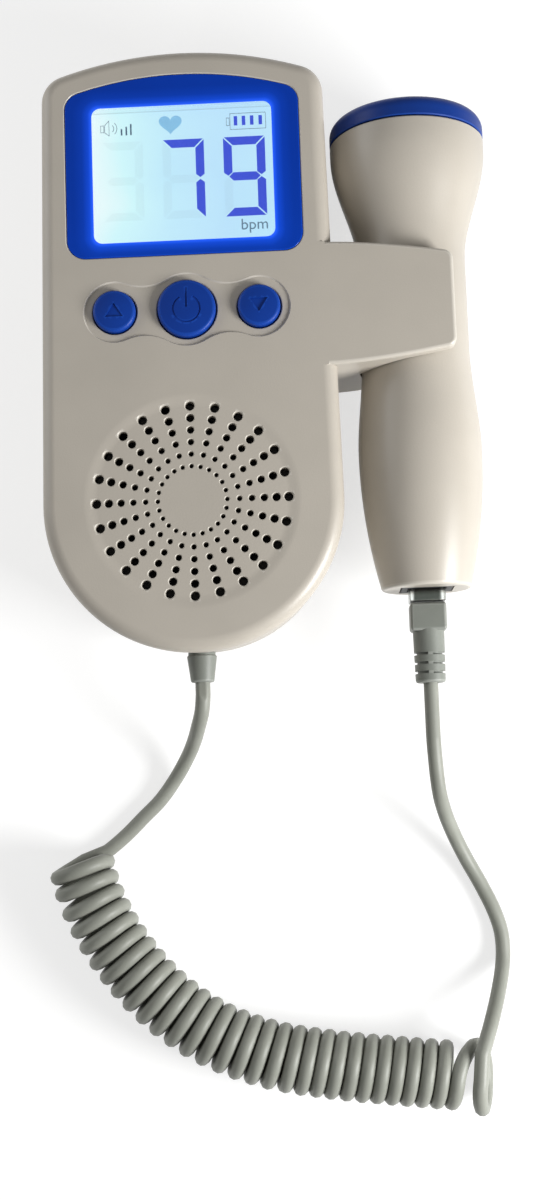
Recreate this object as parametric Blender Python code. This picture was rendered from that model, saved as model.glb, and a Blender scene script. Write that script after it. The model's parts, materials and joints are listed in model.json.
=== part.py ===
"""Fetal doppler monitor: a hand-held display unit with a clip at its side that holds a probe.

The unit lies on its back with its display up. +Y points to the display end, +X to the probe,
and the origin is the middle of the flat rear face. All lengths are in metres.
"""

from math import asin, atan2, cos, hypot, pi, radians, sin, sqrt, tan, tau

import bmesh
import bpy
import numpy as np
from mathutils import Matrix, Vector

# Clearances that many pieces share
touch_gap = 0.0003
cut_overrun = 0.004
weld_distance = 0.000005
smooth_angle = radians(40)

# Case of the display unit
case_half_width = 0.0335
case_top_taper = 0.0013
case_low_y = -0.069
case_top_y = 0.069
case_arch_radius = 0.088
case_corner_radius = 0.0065
case_depth = 0.035
case_wall = 0.0024
side_draft = radians(4.8)
front_edge_radius = 0.0032
rear_edge_share = 0.45
lip_height = 0.0015
lip_thickness = 0.001

# Display
lens_side_margin = 0.00535
lens_top_margin = 0.0059
lens_low_y = 0.02015
lens_corner_radius = 0.0045
lens_thickness = 0.0012
window_side_margin = 0.0064
window_low_margin = 0.0036
window_height = 0.0318
window_corner_radius = 0.002
lcd_border = 0.0015
lcd_thickness = 0.0022
backlight_depth_share = 0.125
strip_width = 0.0022

# Main board and what it carries
board_thickness = 0.0016
board_low_y = -0.0095
board_high_y = 0.0575
board_side_gap = 0.0006
processor_side = 0.009
amplifier_length = 0.006
amplifier_width = 0.0045
chip_thickness = 0.0013
chip_row_y = -0.004
chip_offset = 0.008

# Buttons
button_row_y = 0.0078
button_pitch = 0.0162
power_button_radius = 0.0065
side_button_radius = 0.00475
button_rise = 0.0012
button_dome = 0.0004
button_edge_radius = 0.0007
button_flange_width = 0.001
button_flange_thickness = 0.001
button_stem_radius = 0.0019
button_travel = 0.0006
panel_depth = 0.0004
panel_power_radius = 0.0082
panel_side_radius = 0.00685
panel_waist_radius = 0.0105
switch_side = 0.006
switch_height = 0.0032
plunger_radius = 0.00175
plunger_rise = 0.0009
plunger_seat_depth = 0.0011

# Speaker and the holes in front of it
speaker_radius = 0.0222
speaker_flange_width = 0.0022
speaker_flange_thickness = 0.0009
speaker_basket_depth = 0.0055
speaker_basket_thickness = 0.0008
cone_thickness = 0.0005
magnet_radius = 0.011
magnet_thickness = 0.0045
dish_radius = 0.0227
dish_depth = 0.0004
grille_first_radius = 0.00768
grille_last_radius = 0.02126
grille_rings = 6
grille_spokes = 24
first_hole_radius = 0.0005
last_hole_radius = 0.00106

# Headphone jack
jack_y = 0.0369
jack_body_width = 0.0066
jack_body_height = 0.0054
jack_barrel_radius = 0.0026
jack_bore_radius = 0.0018
jack_end_wall = 0.0038

# Screws and their posts
post_radius = 0.0026
post_margin = 0.0012
rear_post_radius = 0.0034
post_step = 0.0015
low_post_angle = radians(-57)
middle_post_y = 0.015
screw_head_radius = 0.0021
screw_head_height = 0.0014
screw_shank_radius = 0.0009
screw_seat_height = 0.012
screw_slot_width = 0.0006
screw_slot_depth = 0.0007
screw_bite = 0.006
board_post_radius = 0.0022
board_post_margin = 0.0035
board_screw_bite = 0.004

# Battery bay, cells and door
cell_radius = 0.00725
cell_length = 0.0505
cell_nub_radius = 0.00275
cell_nub_height = 0.0014
cell_edge = 0.0008
cell_spacing_gap = 0.0006
bay_centre_y = 0.0314
bay_wall = 0.0012
bay_floor_recess = 0.0002
contact_thickness = 0.0004
contact_half_width = 0.0045
contact_half_height = 0.0043
spring_length = 0.0046
spring_wire_radius = 0.0003
spring_wide_radius = 0.0038
spring_narrow_radius = 0.0022
spring_turns = 3
door_thickness = 0.0018
door_ledge = 0.0022
door_tab_width = 0.0017
door_tab_reach = 0.0014
door_tab_thickness = 0.0009
door_grip_width = 0.018
door_grip_groove = 0.0008
door_grip_depth = 0.0005
door_grip_count = 4

# Clip that holds the probe
clip_centre_y = 0.0079
clip_root_half = 0.01415
clip_tip_half = 0.0109
clip_root_overlap = 0.0012
clip_front_reach = 0.0083
clip_rear_reach = 0.0045
clip_front_thickness = 0.0028
clip_rear_thickness = 0.003
clip_rear_inset = 0.0012
clip_clearance = 0.0006
clip_edge = 0.0006
clip_tip_corner = 0.0018
clip_web_slope = radians(36)
clip_web_run = 0.0068
clip_taper_power = 1.6
clip_corner_shares = (1, 0.5, 0.15, 0)

# Probe
probe_side_gap = 0.00135
probe_head_radius = 0.01795
probe_neck_radius = 0.0124
probe_grip_radius = 0.01415
probe_tail_radius = 0.0101
probe_tail_edge = 0.0008
probe_wall = 0.002
probe_tail_wall = 0.0025
neck_above_centre = 0.0131
neck_below_centre = 0.0079
neck_to_head_rise = 0.026
head_straight = 0.0029
neck_to_grip_drop = 0.024
grip_to_tail_drop = 0.0315
cap_rim = 0.0021
cap_edge_radius = 0.003
cap_dome = 0.001
cap_face_thickness = 0.0022
cap_spigot_depth = 0.0035
cap_spigot_wall = 0.0016
crystal_thickness = 0.0012
crystal_split = 0.0006
backing_thickness = 0.005
probe_board_thickness = 0.0012
probe_board_margin = 0.001
socket_width = 0.0115
socket_height = 0.0095
socket_depth = 0.013

# Plug on the probe's end of the cord
plug_width = 0.0082
plug_height = 0.0066
plug_inserted = 0.009
plug_shown = 0.0029
plug_travel = 0.012
plug_contact_count = 4
plug_contact_pitch = 0.0016
plug_contact_thickness = 0.0004
plug_contact_length = 0.0035
plug_contact_depth = 0.002
collar_height = 0.0072
collar_length = 0.0063
boot_start_radius = 0.00345
boot_end_radius = 0.0031
boot_length = 0.0113
boot_groove_count = 3
boot_groove_width = 0.0011
boot_groove_depth = 0.0008

# Cord and the gland that it leaves the case by
cord_diameter = 0.00285
gland_flange_radius = 0.0045
gland_flange_thickness = 0.0014
gland_neck_radius = 0.0031
gland_start_radius = 0.0034
gland_end_radius = 0.0027
gland_length = 0.0054
gland_seat = 0.0008
curl_radius = 0.00605
curl_floor_gap = 0.0001
curl_turns = 30.5
curl_points_per_turn = 9
curl_ease_share = 0.06
curl_lean_share = 0.22
curl_lean_end_share = 0.65
first_curl_entry_share = 0.6
last_curl_bulge = 0.0056
last_curl_end_shift = 0.0017
last_curl_growth = 0.0016

# Axis of the curly part, from the unit's side to the probe's side.
# Its first and last points only set the direction at the ends.
curl_route = [
    (-0.0322, -0.1046), (-0.0305, -0.1144), (-0.0277, -0.1240), (-0.0218, -0.1348),
    (-0.0128, -0.1455), (-0.0016, -0.1537), (0.0115, -0.1590), (0.0260, -0.1618),
    (0.0415, -0.1637), (0.0572, -0.1653), (0.0722, -0.1667),
]

# Free stretch from the gland down to the curly part
unit_stretch_route = [
    (-0.0005, -0.0814, 0.0193), (-0.0016, -0.0844, 0.0162), (-0.0031, -0.0876, 0.0108),
    (-0.0053, -0.0913, 0.0056), (-0.0085, -0.0961, 0.0024), (-0.0122, -0.1009, 0.0016),
    (-0.0163, -0.1048, 0.0016), (-0.0205, -0.1088, 0.0016),
]

# Free stretch from the curly part to the plug
probe_stretch_route = [
    (0.0620, -0.1535, 0.0106), (0.0645, -0.1470, 0.0058), (0.0662, -0.1405, 0.0024),
    (0.0663, -0.1345, 0.0016), (0.0648, -0.1290, 0.0016), (0.0620, -0.1228, 0.0017),
    (0.0589, -0.1170, 0.0030), (0.0562, -0.1115, 0.0060), (0.0538, -0.1057, 0.0110),
    (0.0523, -0.0997, 0.0162),
]

# Counts that set how fine the curved surfaces are
low_arc_steps = 12
corner_steps = 4
arch_steps = 8
edge_steps = 3
button_edge_steps = 2
turn_steps = 24
speaker_steps = 18
small_turn_steps = 12
hole_steps = 5
spring_steps = 8
wire_steps = 5
span_steps = 12
axis_steps = 300


# Sizes worked out from the ones above
case_top_half_width = case_half_width - case_top_taper
speaker_y = case_low_y + case_half_width
arch_centre_y = case_top_y - case_arch_radius
inner_front = case_depth - case_wall
draft_top = case_depth - front_edge_radius
rear_edge_radius = case_corner_radius * rear_edge_share

lens_half_width = case_top_half_width - lens_side_margin
lens_top_y = case_top_y - lens_top_margin
window_half_width = lens_half_width - window_side_margin
window_low_y = lens_low_y + window_low_margin
window_high_y = window_low_y + window_height
lcd_half_width = window_half_width + lcd_border
lcd_top = inner_front - touch_gap
lcd_bottom = lcd_top - lcd_thickness
backlight_top = lcd_bottom - touch_gap
backlight_thickness = case_depth * backlight_depth_share
backlight_bottom = backlight_top - backlight_thickness
lcd_low_y = window_low_y - lcd_border - strip_width
lcd_high_y = window_high_y + lcd_border
strip_high_y = window_low_y - lcd_border - touch_gap

board_top = backlight_bottom - touch_gap
board_bottom = board_top - board_thickness
jack_height = board_bottom - touch_gap - jack_body_height / 2
parting_height = jack_height
parting_inset = (draft_top - parting_height) * tan(side_draft)
post_meeting_height = parting_height - post_step
middle_post_x = case_top_half_width - parting_inset - case_wall - post_radius - touch_gap
board_half_width = middle_post_x - post_radius - board_side_gap
board_post_x = board_half_width - board_post_margin
board_post_y = board_low_y + board_post_margin

post_ring_radius = case_half_width - parting_inset - case_wall - post_radius - post_margin
corner_reach = case_arch_radius - case_corner_radius
corner_x = case_top_half_width - case_corner_radius
top_post_y = arch_centre_y + sqrt(corner_reach**2 - corner_x**2)

plunger_top = board_top + touch_gap + switch_height + plunger_rise
button_stem_bottom = plunger_top + touch_gap
button_flange_top = inner_front - touch_gap
panel_height = case_depth - panel_depth
button_top = case_depth + button_rise

cell_height = door_thickness + touch_gap + cell_radius
cell_x = cell_radius + cell_spacing_gap / 2
bay_half_width = cell_x + cell_radius + touch_gap
bay_ceiling = cell_height + cell_radius + touch_gap
bay_floor = case_wall - bay_floor_recess
bay_end_gap = touch_gap + contact_thickness + touch_gap
bay_length = cell_length + spring_length + touch_gap + 2 * bay_end_gap
bay_low_y = bay_centre_y - bay_length / 2
bay_high_y = bay_low_y + bay_length
door_half_width = bay_half_width
door_low_y = bay_low_y + door_ledge
door_high_y = bay_high_y - door_ledge

probe_x = case_top_half_width + probe_side_gap + probe_head_radius
cavity_radius = probe_neck_radius + clip_clearance
probe_height = case_depth - clip_front_thickness - cavity_radius
clip_root_x = case_half_width - parting_inset - clip_root_overlap
clip_front_tip_x = probe_x + clip_front_reach
clip_rear_tip_x = probe_x + clip_rear_reach
clip_face_root_x = case_top_half_width - front_edge_radius
clip_rear_bottom = probe_height - cavity_radius - clip_rear_thickness
rear_root_inset = (draft_top - clip_rear_bottom) * tan(side_draft)
clip_rear_root_x = case_half_width - rear_root_inset - clip_root_overlap

neck_high_y = clip_centre_y + neck_above_centre
neck_low_y = clip_centre_y - neck_below_centre
head_y = neck_high_y + neck_to_head_rise
cap_y = head_y + head_straight
grip_y = neck_low_y - neck_to_grip_drop
tail_y = grip_y - grip_to_tail_drop
spigot_radius = probe_head_radius - probe_wall - touch_gap
cap_bore_radius = spigot_radius - cap_spigot_wall
cap_inner_y = cap_y + cap_rim + cap_edge_radius - cap_face_thickness
crystal_radius = cap_bore_radius - touch_gap
socket_inner_y = tail_y + socket_depth

plug_front_y = tail_y + plug_inserted
plug_rear_y = tail_y - plug_shown
collar_front_y = plug_rear_y - touch_gap
boot_start_y = collar_front_y - collar_length
boot_end_y = boot_start_y - boot_length

gland_end_y = case_low_y - gland_length
curl_height = curl_radius + cord_diameter / 2 + curl_floor_gap


def arc(centre_x, centre_y, radius, start, end, steps):
    """Points along a circle's arc, both ends included."""
    angles = [start + (end - start) * i / steps for i in range(steps + 1)]
    return [(centre_x + radius * cos(a), centre_y + radius * sin(a)) for a in angles]


def without_repeats(points):
    """The same outline without points that fall on the one before."""
    kept = []
    for point in points:
        if not kept or hypot(point[0] - kept[-1][0], point[1] - kept[-1][1]) > weld_distance:
            kept.append(point)
    if hypot(kept[0][0] - kept[-1][0], kept[0][1] - kept[-1][1]) <= weld_distance:
        kept.pop()
    return kept


def arched_outline(low_half, high_half, low_y, high_y, low_radius, high_radius, arch_radius, inset):
    """An upright outline with round lower corners, round upper corners and an arched top."""
    low_x = low_half - low_radius
    low_corner_y = low_y + low_radius
    high_x = high_half - high_radius
    arch_y = high_y - arch_radius
    high_corner_y = arch_y + sqrt((arch_radius - high_radius) ** 2 - high_x**2)
    lean = atan2(high_corner_y - arch_y, high_x)
    low = low_radius - inset
    high = high_radius - inset
    points = arc(-low_x, low_corner_y, low, pi, 1.5 * pi, low_arc_steps)
    points += arc(low_x, low_corner_y, low, 1.5 * pi, 2 * pi, low_arc_steps)
    points += arc(high_x, high_corner_y, high, 0, lean, corner_steps)
    points += arc(0, arch_y, arch_radius - inset, lean, pi - lean, arch_steps)
    points += arc(-high_x, high_corner_y, high, pi - lean, pi, corner_steps)
    return without_repeats(points)


def case_outline(inset):
    """Outline of the case, a given distance inside its widest line."""
    return arched_outline(
        case_half_width, case_top_half_width, case_low_y, case_top_y,
        case_half_width, case_corner_radius, case_arch_radius, inset,
    )


def lens_outline(inset):
    """Outline of the lens, whose top follows the arch of the case."""
    return arched_outline(
        lens_half_width, lens_half_width, lens_low_y, lens_top_y,
        lens_corner_radius, lens_corner_radius, case_arch_radius - lens_top_margin, inset,
    )


def rounded_rectangle(low_x, low_y, high_x, high_y, radius):
    """Outline of a rectangle with round corners."""
    points = arc(high_x - radius, low_y + radius, radius, -pi / 2, 0, corner_steps)
    points += arc(high_x - radius, high_y - radius, radius, 0, pi / 2, corner_steps)
    points += arc(low_x + radius, high_y - radius, radius, pi / 2, pi, corner_steps)
    points += arc(low_x + radius, low_y + radius, radius, pi, 1.5 * pi, corner_steps)
    return points


def panel_outline():
    """Outline of the sunk panel round the buttons: three lobes joined by hollow waists."""
    to_power = panel_power_radius + panel_waist_radius
    to_side = panel_side_radius + panel_waist_radius
    x = (to_power**2 - to_side**2 + button_pitch**2) / (2 * button_pitch)
    y = sqrt(to_power**2 - x**2)
    power_angle = atan2(y, x)
    side_angle = atan2(y, x - button_pitch)
    half = arc(button_pitch, 0, panel_side_radius, 0, side_angle, corner_steps)
    half += arc(x, y, panel_waist_radius, side_angle - pi, power_angle - pi, corner_steps)
    half += arc(0, 0, panel_power_radius, power_angle, pi - power_angle, arch_steps)
    half += arc(-x, y, panel_waist_radius, -power_angle, -side_angle, corner_steps)
    half += arc(-button_pitch, 0, panel_side_radius, pi - side_angle, pi, corner_steps)
    outline = half + [(-px, -py) for px, py in half]
    return without_repeats([(px, button_row_y + py) for px, py in outline])


def at_height(outline, height):
    """An outline in the XY plane as 3D points."""
    return [Vector((x, y, height)) for x, y in outline]


def add_rings(bm, rings):
    """Adds a closed body that passes through rings of equally many points, capped at both ends."""
    loops = [[bm.verts.new(point) for point in ring] for ring in rings]
    for low, high in zip(loops, loops[1:]):
        for i, vert in enumerate(low):
            after = (i + 1) % len(low)
            bm.faces.new((vert, low[after], high[after], high[i]))
    bm.faces.new(loops[0][::-1])
    bm.faces.new(loops[-1])


def add_prism(bm, outline, low, high):
    """Adds an outline extruded from one height to another."""
    add_rings(bm, [at_height(outline, low), at_height(outline, high)])


def add_box(bm, low, high):
    """Adds a box between two corners."""
    outline = [(low[0], low[1]), (high[0], low[1]), (high[0], high[1]), (low[0], high[1])]
    add_prism(bm, outline, low[2], high[2])


def add_turned(bm, profile, steps, place):
    """Adds a profile of (radius, height) points, which starts and ends on the axis, turned about
    the Z axis of a placing matrix."""
    loops = []
    for radius, height in profile:
        if radius <= 0:
            loops.append([bm.verts.new(place @ Vector((0, 0, height)))] * steps)
            continue
        ring = arc(0, 0, radius, 0, tau * (steps - 1) / steps, steps - 1)
        loops.append([bm.verts.new(place @ Vector((x, y, height))) for x, y in ring])
    for low, high in zip(loops, loops[1:]):
        for i in range(steps):
            after = (i + 1) % steps
            corners = [low[i], low[after], high[after], high[i]]
            bm.faces.new(list(dict.fromkeys(corners)))


def upright(x, y, z=0):
    """Places a turned piece with its axis along +Z."""
    return Matrix.Translation((x, y, z))


def along_y(x, z, y=0):
    """Places a turned piece with its axis along +Y."""
    return Matrix.Translation((x, y, z)) @ Matrix.Rotation(-pi / 2, 4, "X")


def along_x(y, z):
    """Places a turned piece with its axis along +X."""
    return Matrix.Translation((0, y, z)) @ Matrix.Rotation(pi / 2, 4, "Y")


def make_material(name, colour, roughness, metallic=0.0):
    """A plain surface with one colour."""
    material = bpy.data.materials.new(name)
    material.use_nodes = True
    shader = material.node_tree.nodes["Principled BSDF"]
    shader.inputs["Base Color"].default_value = (*colour, 1)
    shader.inputs["Roughness"].default_value = roughness
    shader.inputs["Metallic"].default_value = metallic
    return material


def make_object(name, bm, material=None, origin=(0, 0, 0)):
    """Turns a finished bmesh into an object with its origin at the given point."""
    bmesh.ops.recalc_face_normals(bm, faces=bm.faces[:])
    bmesh.ops.translate(bm, verts=bm.verts[:], vec=-Vector(origin))
    mesh = bpy.data.meshes.new(name)
    bm.to_mesh(mesh)
    bm.free()
    mesh.shade_smooth()
    mesh.set_sharp_from_angle(angle=smooth_angle)
    obj = bpy.data.objects.new(name, mesh)
    obj.location = origin
    bpy.context.scene.collection.objects.link(obj)
    if material:
        mesh.materials.append(material)
    return obj


def shape_with(target, name, bm, operation):
    """Joins or cuts a body with a hidden helper shape."""
    helper = make_object(name, bm)
    helper.hide_render = True
    helper.display_type = "WIRE"
    modifier = target.modifiers.new(name, "BOOLEAN")
    modifier.operation = operation
    modifier.solver = "EXACT"
    modifier.object = helper
    weld = target.modifiers.new(name + "_weld", "WELD")
    weld.merge_threshold = weld_distance


def fuse(target, name, bm):
    """Joins a helper shape to a body."""
    shape_with(target, name, bm, "UNION")


def carve(target, name, bm):
    """Cuts a helper shape out of a body."""
    shape_with(target, name, bm, "DIFFERENCE")


def clear_scene():
    """Removes what the scene held before."""
    for obj in list(bpy.data.objects):
        bpy.data.objects.remove(obj)


def draft_inset(height):
    """How far the sides have drawn in at a height, from their widest line under the front edge."""
    return max(0, draft_top - height) * tan(side_draft)


def wall_ring(depth, height):
    """Ring of the case's side at a height, at a depth into its wall."""
    return at_height(case_outline(draft_inset(height) + depth), height)


def rounded_edge(radius, flat_height, direction):
    """Rings of the case round an edge, from its side to its flat face."""
    side = draft_inset(flat_height - direction * radius)
    rings = []
    for i in range(edge_steps + 1):
        angle = pi / 2 * i / edge_steps
        inset = side + radius * (1 - cos(angle))
        height = flat_height - direction * radius * (1 - sin(angle))
        rings.append(at_height(case_outline(inset), height))
    return rings


def low_post_places():
    """Places of the two lower case posts, clear of the speaker."""
    x = post_ring_radius * cos(low_post_angle)
    y = speaker_y + post_ring_radius * sin(low_post_angle)
    return [(-x, y), (x, y)]


def case_post_places():
    """Places of all the case screws."""
    upper = [(side * middle_post_x, y) for y in (middle_post_y, top_post_y) for side in (-1, 1)]
    return low_post_places() + upper


def board_post_places():
    """Places of the two board screws."""
    return [(-board_post_x, board_post_y), (board_post_x, board_post_y)]


def clip_half_length(x, tip_x):
    """Half the clip's length along Y at a distance from the case, with round corners at its tip."""
    along = max(0, (x - clip_root_x) / (tip_x - clip_root_x))
    half = clip_root_half - (clip_root_half - clip_tip_half) * along**clip_taper_power
    past_corner = x - (tip_x - clip_tip_corner)
    if past_corner > 0:
        half -= clip_tip_corner - sqrt(max(0, clip_tip_corner**2 - past_corner**2))
    return half


def web_height(x):
    """Height of the slanted parting line in the web between case and cavity."""
    run = min(max(0, x - case_half_width), clip_web_run)
    return parting_height + run * tan(clip_web_slope)


def cavity_half_height(x):
    """Half the height of the clip's cavity: round on the case's side, then parallel."""
    if x >= probe_x:
        return cavity_radius
    return sqrt(max(0, cavity_radius**2 - (probe_x - x) ** 2))


def clip_stations(root_x, tip_x):
    """Distances from the case's middle at which the clip's section is set."""
    wall_x = probe_x - cavity_radius
    web = [root_x, case_half_width, (case_half_width + wall_x) / 2, wall_x]
    round_part = [probe_x - cavity_radius * cos(a) for a in (pi / 18 * i for i in range(1, 10))]
    corner = [tip_x - clip_tip_corner * share for share in clip_corner_shares]
    return web + round_part + corner


def clip_section(x, tip_x, low, high, inset, edge_above):
    """Section of the clip across X, with its outer edges broken."""
    half = clip_half_length(x, tip_x) - inset
    outer = high if edge_above else low
    inner = low if edge_above else high
    turn = clip_edge if edge_above else -clip_edge
    yz = [
        (-half, inner), (-half, outer - turn), (clip_edge - half, outer),
        (half - clip_edge, outer), (half, outer - turn), (half, inner),
    ]
    return [Vector((x, clip_centre_y + y, z)) for y, z in yz]


def front_clip():
    """Front arm of the clip, which is flush with the front of the case."""
    bm = bmesh.new()
    gap = touch_gap / cos(clip_web_slope)
    rings = []
    for x in (clip_face_root_x, clip_root_x - touch_gap):
        low = case_depth - case_wall / 2
        rings.append(clip_section(x, clip_front_tip_x, low, case_depth, 0, True))
    for x in clip_stations(clip_root_x, clip_front_tip_x):
        low = max(web_height(x) + gap / 2, probe_height + cavity_half_height(x))
        rings.append(clip_section(x, clip_front_tip_x, low, case_depth, 0, True))
    add_rings(bm, rings)
    return bm


def rear_clip():
    """Rear arm of the clip, which stands on the rear shell."""
    bm = bmesh.new()
    gap = touch_gap / cos(clip_web_slope)
    rings = []
    for x in clip_stations(clip_rear_root_x, clip_rear_tip_x):
        high = probe_height - cavity_half_height(x)
        if x <= probe_x - cavity_radius:
            high = web_height(x) - gap / 2
        rings.append(clip_section(x, clip_rear_tip_x, clip_rear_bottom, high, clip_rear_inset, False))
    add_rings(bm, rings)
    return bm


def post_cylinders(places, radius, low, high):
    """Cylinders at the given places."""
    bm = bmesh.new()
    for x, y in places:
        add_turned(bm, [(0, low), (radius, low), (radius, high), (0, high)], small_turn_steps, upright(x, y))
    return bm


def grille_holes():
    """Holes over the speaker: rings of holes that grow outwards."""
    bm = bmesh.new()
    for ring in range(grille_rings):
        share = ring / (grille_rings - 1)
        radius = grille_first_radius + (grille_last_radius - grille_first_radius) * share
        hole = first_hole_radius + (last_hole_radius - first_hole_radius) * share
        for spoke in range(grille_spokes):
            angle = tau * spoke / grille_spokes
            x = radius * cos(angle)
            y = speaker_y + radius * sin(angle)
            outline = arc(x, y, hole, 0, tau * (hole_steps - 1) / hole_steps, hole_steps - 1)
            add_prism(bm, outline, inner_front - cut_overrun, case_depth + cut_overrun)
    return bm


def button_holes():
    """Holes that the button caps pass through."""
    bm = bmesh.new()
    for x, radius in button_sizes():
        hole = radius + touch_gap
        low = inner_front - cut_overrun
        high = case_depth + cut_overrun
        profile = [(0, low), (hole, low), (hole, high), (0, high)]
        add_turned(bm, profile, turn_steps, upright(x, button_row_y))
    return bm


def button_sizes():
    """Place across the unit and radius of each button, the power button first."""
    return [
        (0, power_button_radius),
        (-button_pitch, side_button_radius),
        (button_pitch, side_button_radius),
    ]


def jack_hole():
    """Hole in the side of the case for the headphone jack's barrel."""
    bm = bmesh.new()
    radius = jack_barrel_radius + touch_gap
    low = case_top_half_width - parting_inset - case_wall - cut_overrun
    high = case_half_width + cut_overrun
    profile = [(0, low), (radius, low), (radius, high), (0, high)]
    add_turned(bm, profile, small_turn_steps, along_x(jack_y, jack_height))
    return bm


def gland_hole():
    """Hole in the lower end of the case for the cord's gland."""
    bm = bmesh.new()
    radius = gland_neck_radius + touch_gap
    low = case_low_y - cut_overrun
    high = case_low_y + parting_inset + case_wall + cut_overrun
    profile = [(0, low), (radius, low), (radius, high), (0, high)]
    add_turned(bm, profile, small_turn_steps, along_y(0, parting_height))
    return bm


def make_front_shell(material):
    """Front shell: face, side wall, front arm of the clip and the posts inside."""
    rebate = case_wall - lip_thickness - touch_gap
    rebate_top = parting_height + lip_height + touch_gap
    bottom = parting_height + touch_gap / 2
    bm = bmesh.new()
    rings = [
        wall_ring(case_wall, inner_front), wall_ring(case_wall, rebate_top),
        wall_ring(rebate, rebate_top), wall_ring(rebate, bottom), wall_ring(0, bottom),
    ]
    add_rings(bm, rings + rounded_edge(front_edge_radius, case_depth, 1))
    shell = make_object("front_shell", bm, material)
    fuse(shell, "front_clip", front_clip())
    root = inner_front + case_wall / 3
    foot = post_meeting_height + touch_gap / 2
    fuse(shell, "front_posts", post_cylinders(case_post_places(), post_radius, foot, root))
    low = board_top + touch_gap
    fuse(shell, "board_posts", post_cylinders(board_post_places(), board_post_radius, low, root))
    pilot = screw_shank_radius + touch_gap
    top = parting_height + screw_bite + touch_gap
    carve(shell, "front_pilots", post_cylinders(case_post_places(), pilot, foot - cut_overrun, top))
    top = board_top + board_screw_bite + touch_gap
    carve(shell, "board_pilots", post_cylinders(board_post_places(), pilot, low - cut_overrun, top))
    bm = bmesh.new()
    add_prism(bm, lens_outline(0), case_depth - lens_thickness - touch_gap, case_depth + cut_overrun)
    carve(shell, "lens_recess", bm)
    bm = bmesh.new()
    window = rounded_rectangle(
        -window_half_width, window_low_y, window_half_width, window_high_y, window_corner_radius
    )
    add_prism(bm, window, inner_front - cut_overrun, case_depth)
    carve(shell, "window", bm)
    bm = bmesh.new()
    add_prism(bm, panel_outline(), panel_height, case_depth + cut_overrun)
    carve(shell, "button_panel", bm)
    carve(shell, "button_holes", button_holes())
    bm = bmesh.new()
    low = case_depth - dish_depth
    high = case_depth + cut_overrun
    profile = [(0, low), (dish_radius, low), (dish_radius, high), (0, high)]
    add_turned(bm, profile, turn_steps * 2, upright(0, speaker_y))
    carve(shell, "speaker_dish", bm)
    carve(shell, "grille", grille_holes())
    carve(shell, "front_jack_hole", jack_hole())
    carve(shell, "front_gland_hole", gland_hole())


def screw_wells():
    """Stepped wells that take the case screws from behind."""
    bm = bmesh.new()
    wide = screw_head_radius + touch_gap
    narrow = screw_shank_radius + touch_gap
    top = parting_height + cut_overrun
    profile = [
        (0, -cut_overrun), (wide, -cut_overrun), (wide, screw_seat_height),
        (narrow, screw_seat_height), (narrow, top), (0, top),
    ]
    for x, y in case_post_places():
        add_turned(bm, profile, small_turn_steps, upright(x, y))
    return bm


def make_rear_shell(material):
    """Rear shell: back, side wall with its lip, battery bay, rear arm of the clip and posts."""
    lip_inset = case_wall - lip_thickness
    lip_top = parting_height + lip_height
    top = parting_height - touch_gap / 2
    bm = bmesh.new()
    rings = [
        wall_ring(case_wall, case_wall), wall_ring(case_wall, lip_top),
        wall_ring(lip_inset, lip_top), wall_ring(lip_inset, top), wall_ring(0, top),
    ]
    add_rings(bm, rings + rounded_edge(rear_edge_radius, 0, -1))
    shell = make_object("rear_shell", bm, material)
    fuse(shell, "rear_clip", rear_clip())
    root = case_wall * 2 / 3
    high = post_meeting_height - touch_gap / 2
    fuse(shell, "rear_posts", post_cylinders(case_post_places(), rear_post_radius, root, high))
    bm = bmesh.new()
    wall = Vector((bay_wall, bay_wall, bay_wall))
    low = Vector((-bay_half_width, bay_low_y, bay_floor))
    high = Vector((bay_half_width, bay_high_y, bay_ceiling))
    add_box(bm, low - wall, high + wall)
    fuse(shell, "bay_box", bm)
    bm = bmesh.new()
    add_box(bm, low, high)
    carve(shell, "bay_inside", bm)
    bm = bmesh.new()
    opening_half = door_half_width + touch_gap
    low = (-opening_half, door_low_y - touch_gap, -cut_overrun)
    high = (opening_half, door_high_y + touch_gap, case_wall + touch_gap)
    add_box(bm, low, high)
    carve(shell, "door_opening", bm)
    carve(shell, "screw_wells", screw_wells())
    carve(shell, "rear_jack_hole", jack_hole())
    carve(shell, "rear_gland_hole", gland_hole())


def make_lens(material):
    """Flat lens that lies flush in its recess."""
    bm = bmesh.new()
    add_prism(bm, lens_outline(touch_gap), case_depth - lens_thickness, case_depth)
    make_object("display_lens", bm, material)


def make_lcd(glass, white, rubber):
    """Display glass, the backlight behind it and the rubber strip that joins it to the board."""
    bm = bmesh.new()
    add_box(bm, (-lcd_half_width, lcd_low_y, lcd_bottom), (lcd_half_width, lcd_high_y, lcd_top))
    make_object("lcd_panel", bm, glass)
    bm = bmesh.new()
    low = (-lcd_half_width, strip_high_y + touch_gap, backlight_bottom)
    add_box(bm, low, (lcd_half_width, lcd_high_y, backlight_top))
    make_object("lcd_backlight", bm, white)
    bm = bmesh.new()
    half = lcd_half_width - lcd_border
    add_box(bm, (-half, lcd_low_y, board_top + touch_gap), (half, strip_high_y, backlight_top))
    make_object("lcd_connector_strip", bm, rubber)


def make_board(board, chip):
    """Main board with its processor and its audio amplifier on the rear side."""
    bm = bmesh.new()
    low = (-board_half_width, board_low_y, board_bottom)
    add_box(bm, low, (board_half_width, board_high_y, board_top))
    body = make_object("main_board", bm, board)
    radius = screw_shank_radius + touch_gap
    low = board_bottom - cut_overrun
    high = board_top + cut_overrun
    carve(body, "board_holes", post_cylinders(board_post_places(), radius, low, high))
    top = board_bottom - touch_gap
    sizes = {
        "signal_processor": (-chip_offset, processor_side, processor_side),
        "audio_amplifier": (chip_offset, amplifier_length, amplifier_width),
    }
    for name, (x, width, length) in sizes.items():
        bm = bmesh.new()
        low = (x - width / 2, chip_row_y - length / 2, top - chip_thickness)
        add_box(bm, low, (x + width / 2, chip_row_y + length / 2, top))
        make_object(name, bm, chip)


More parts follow.
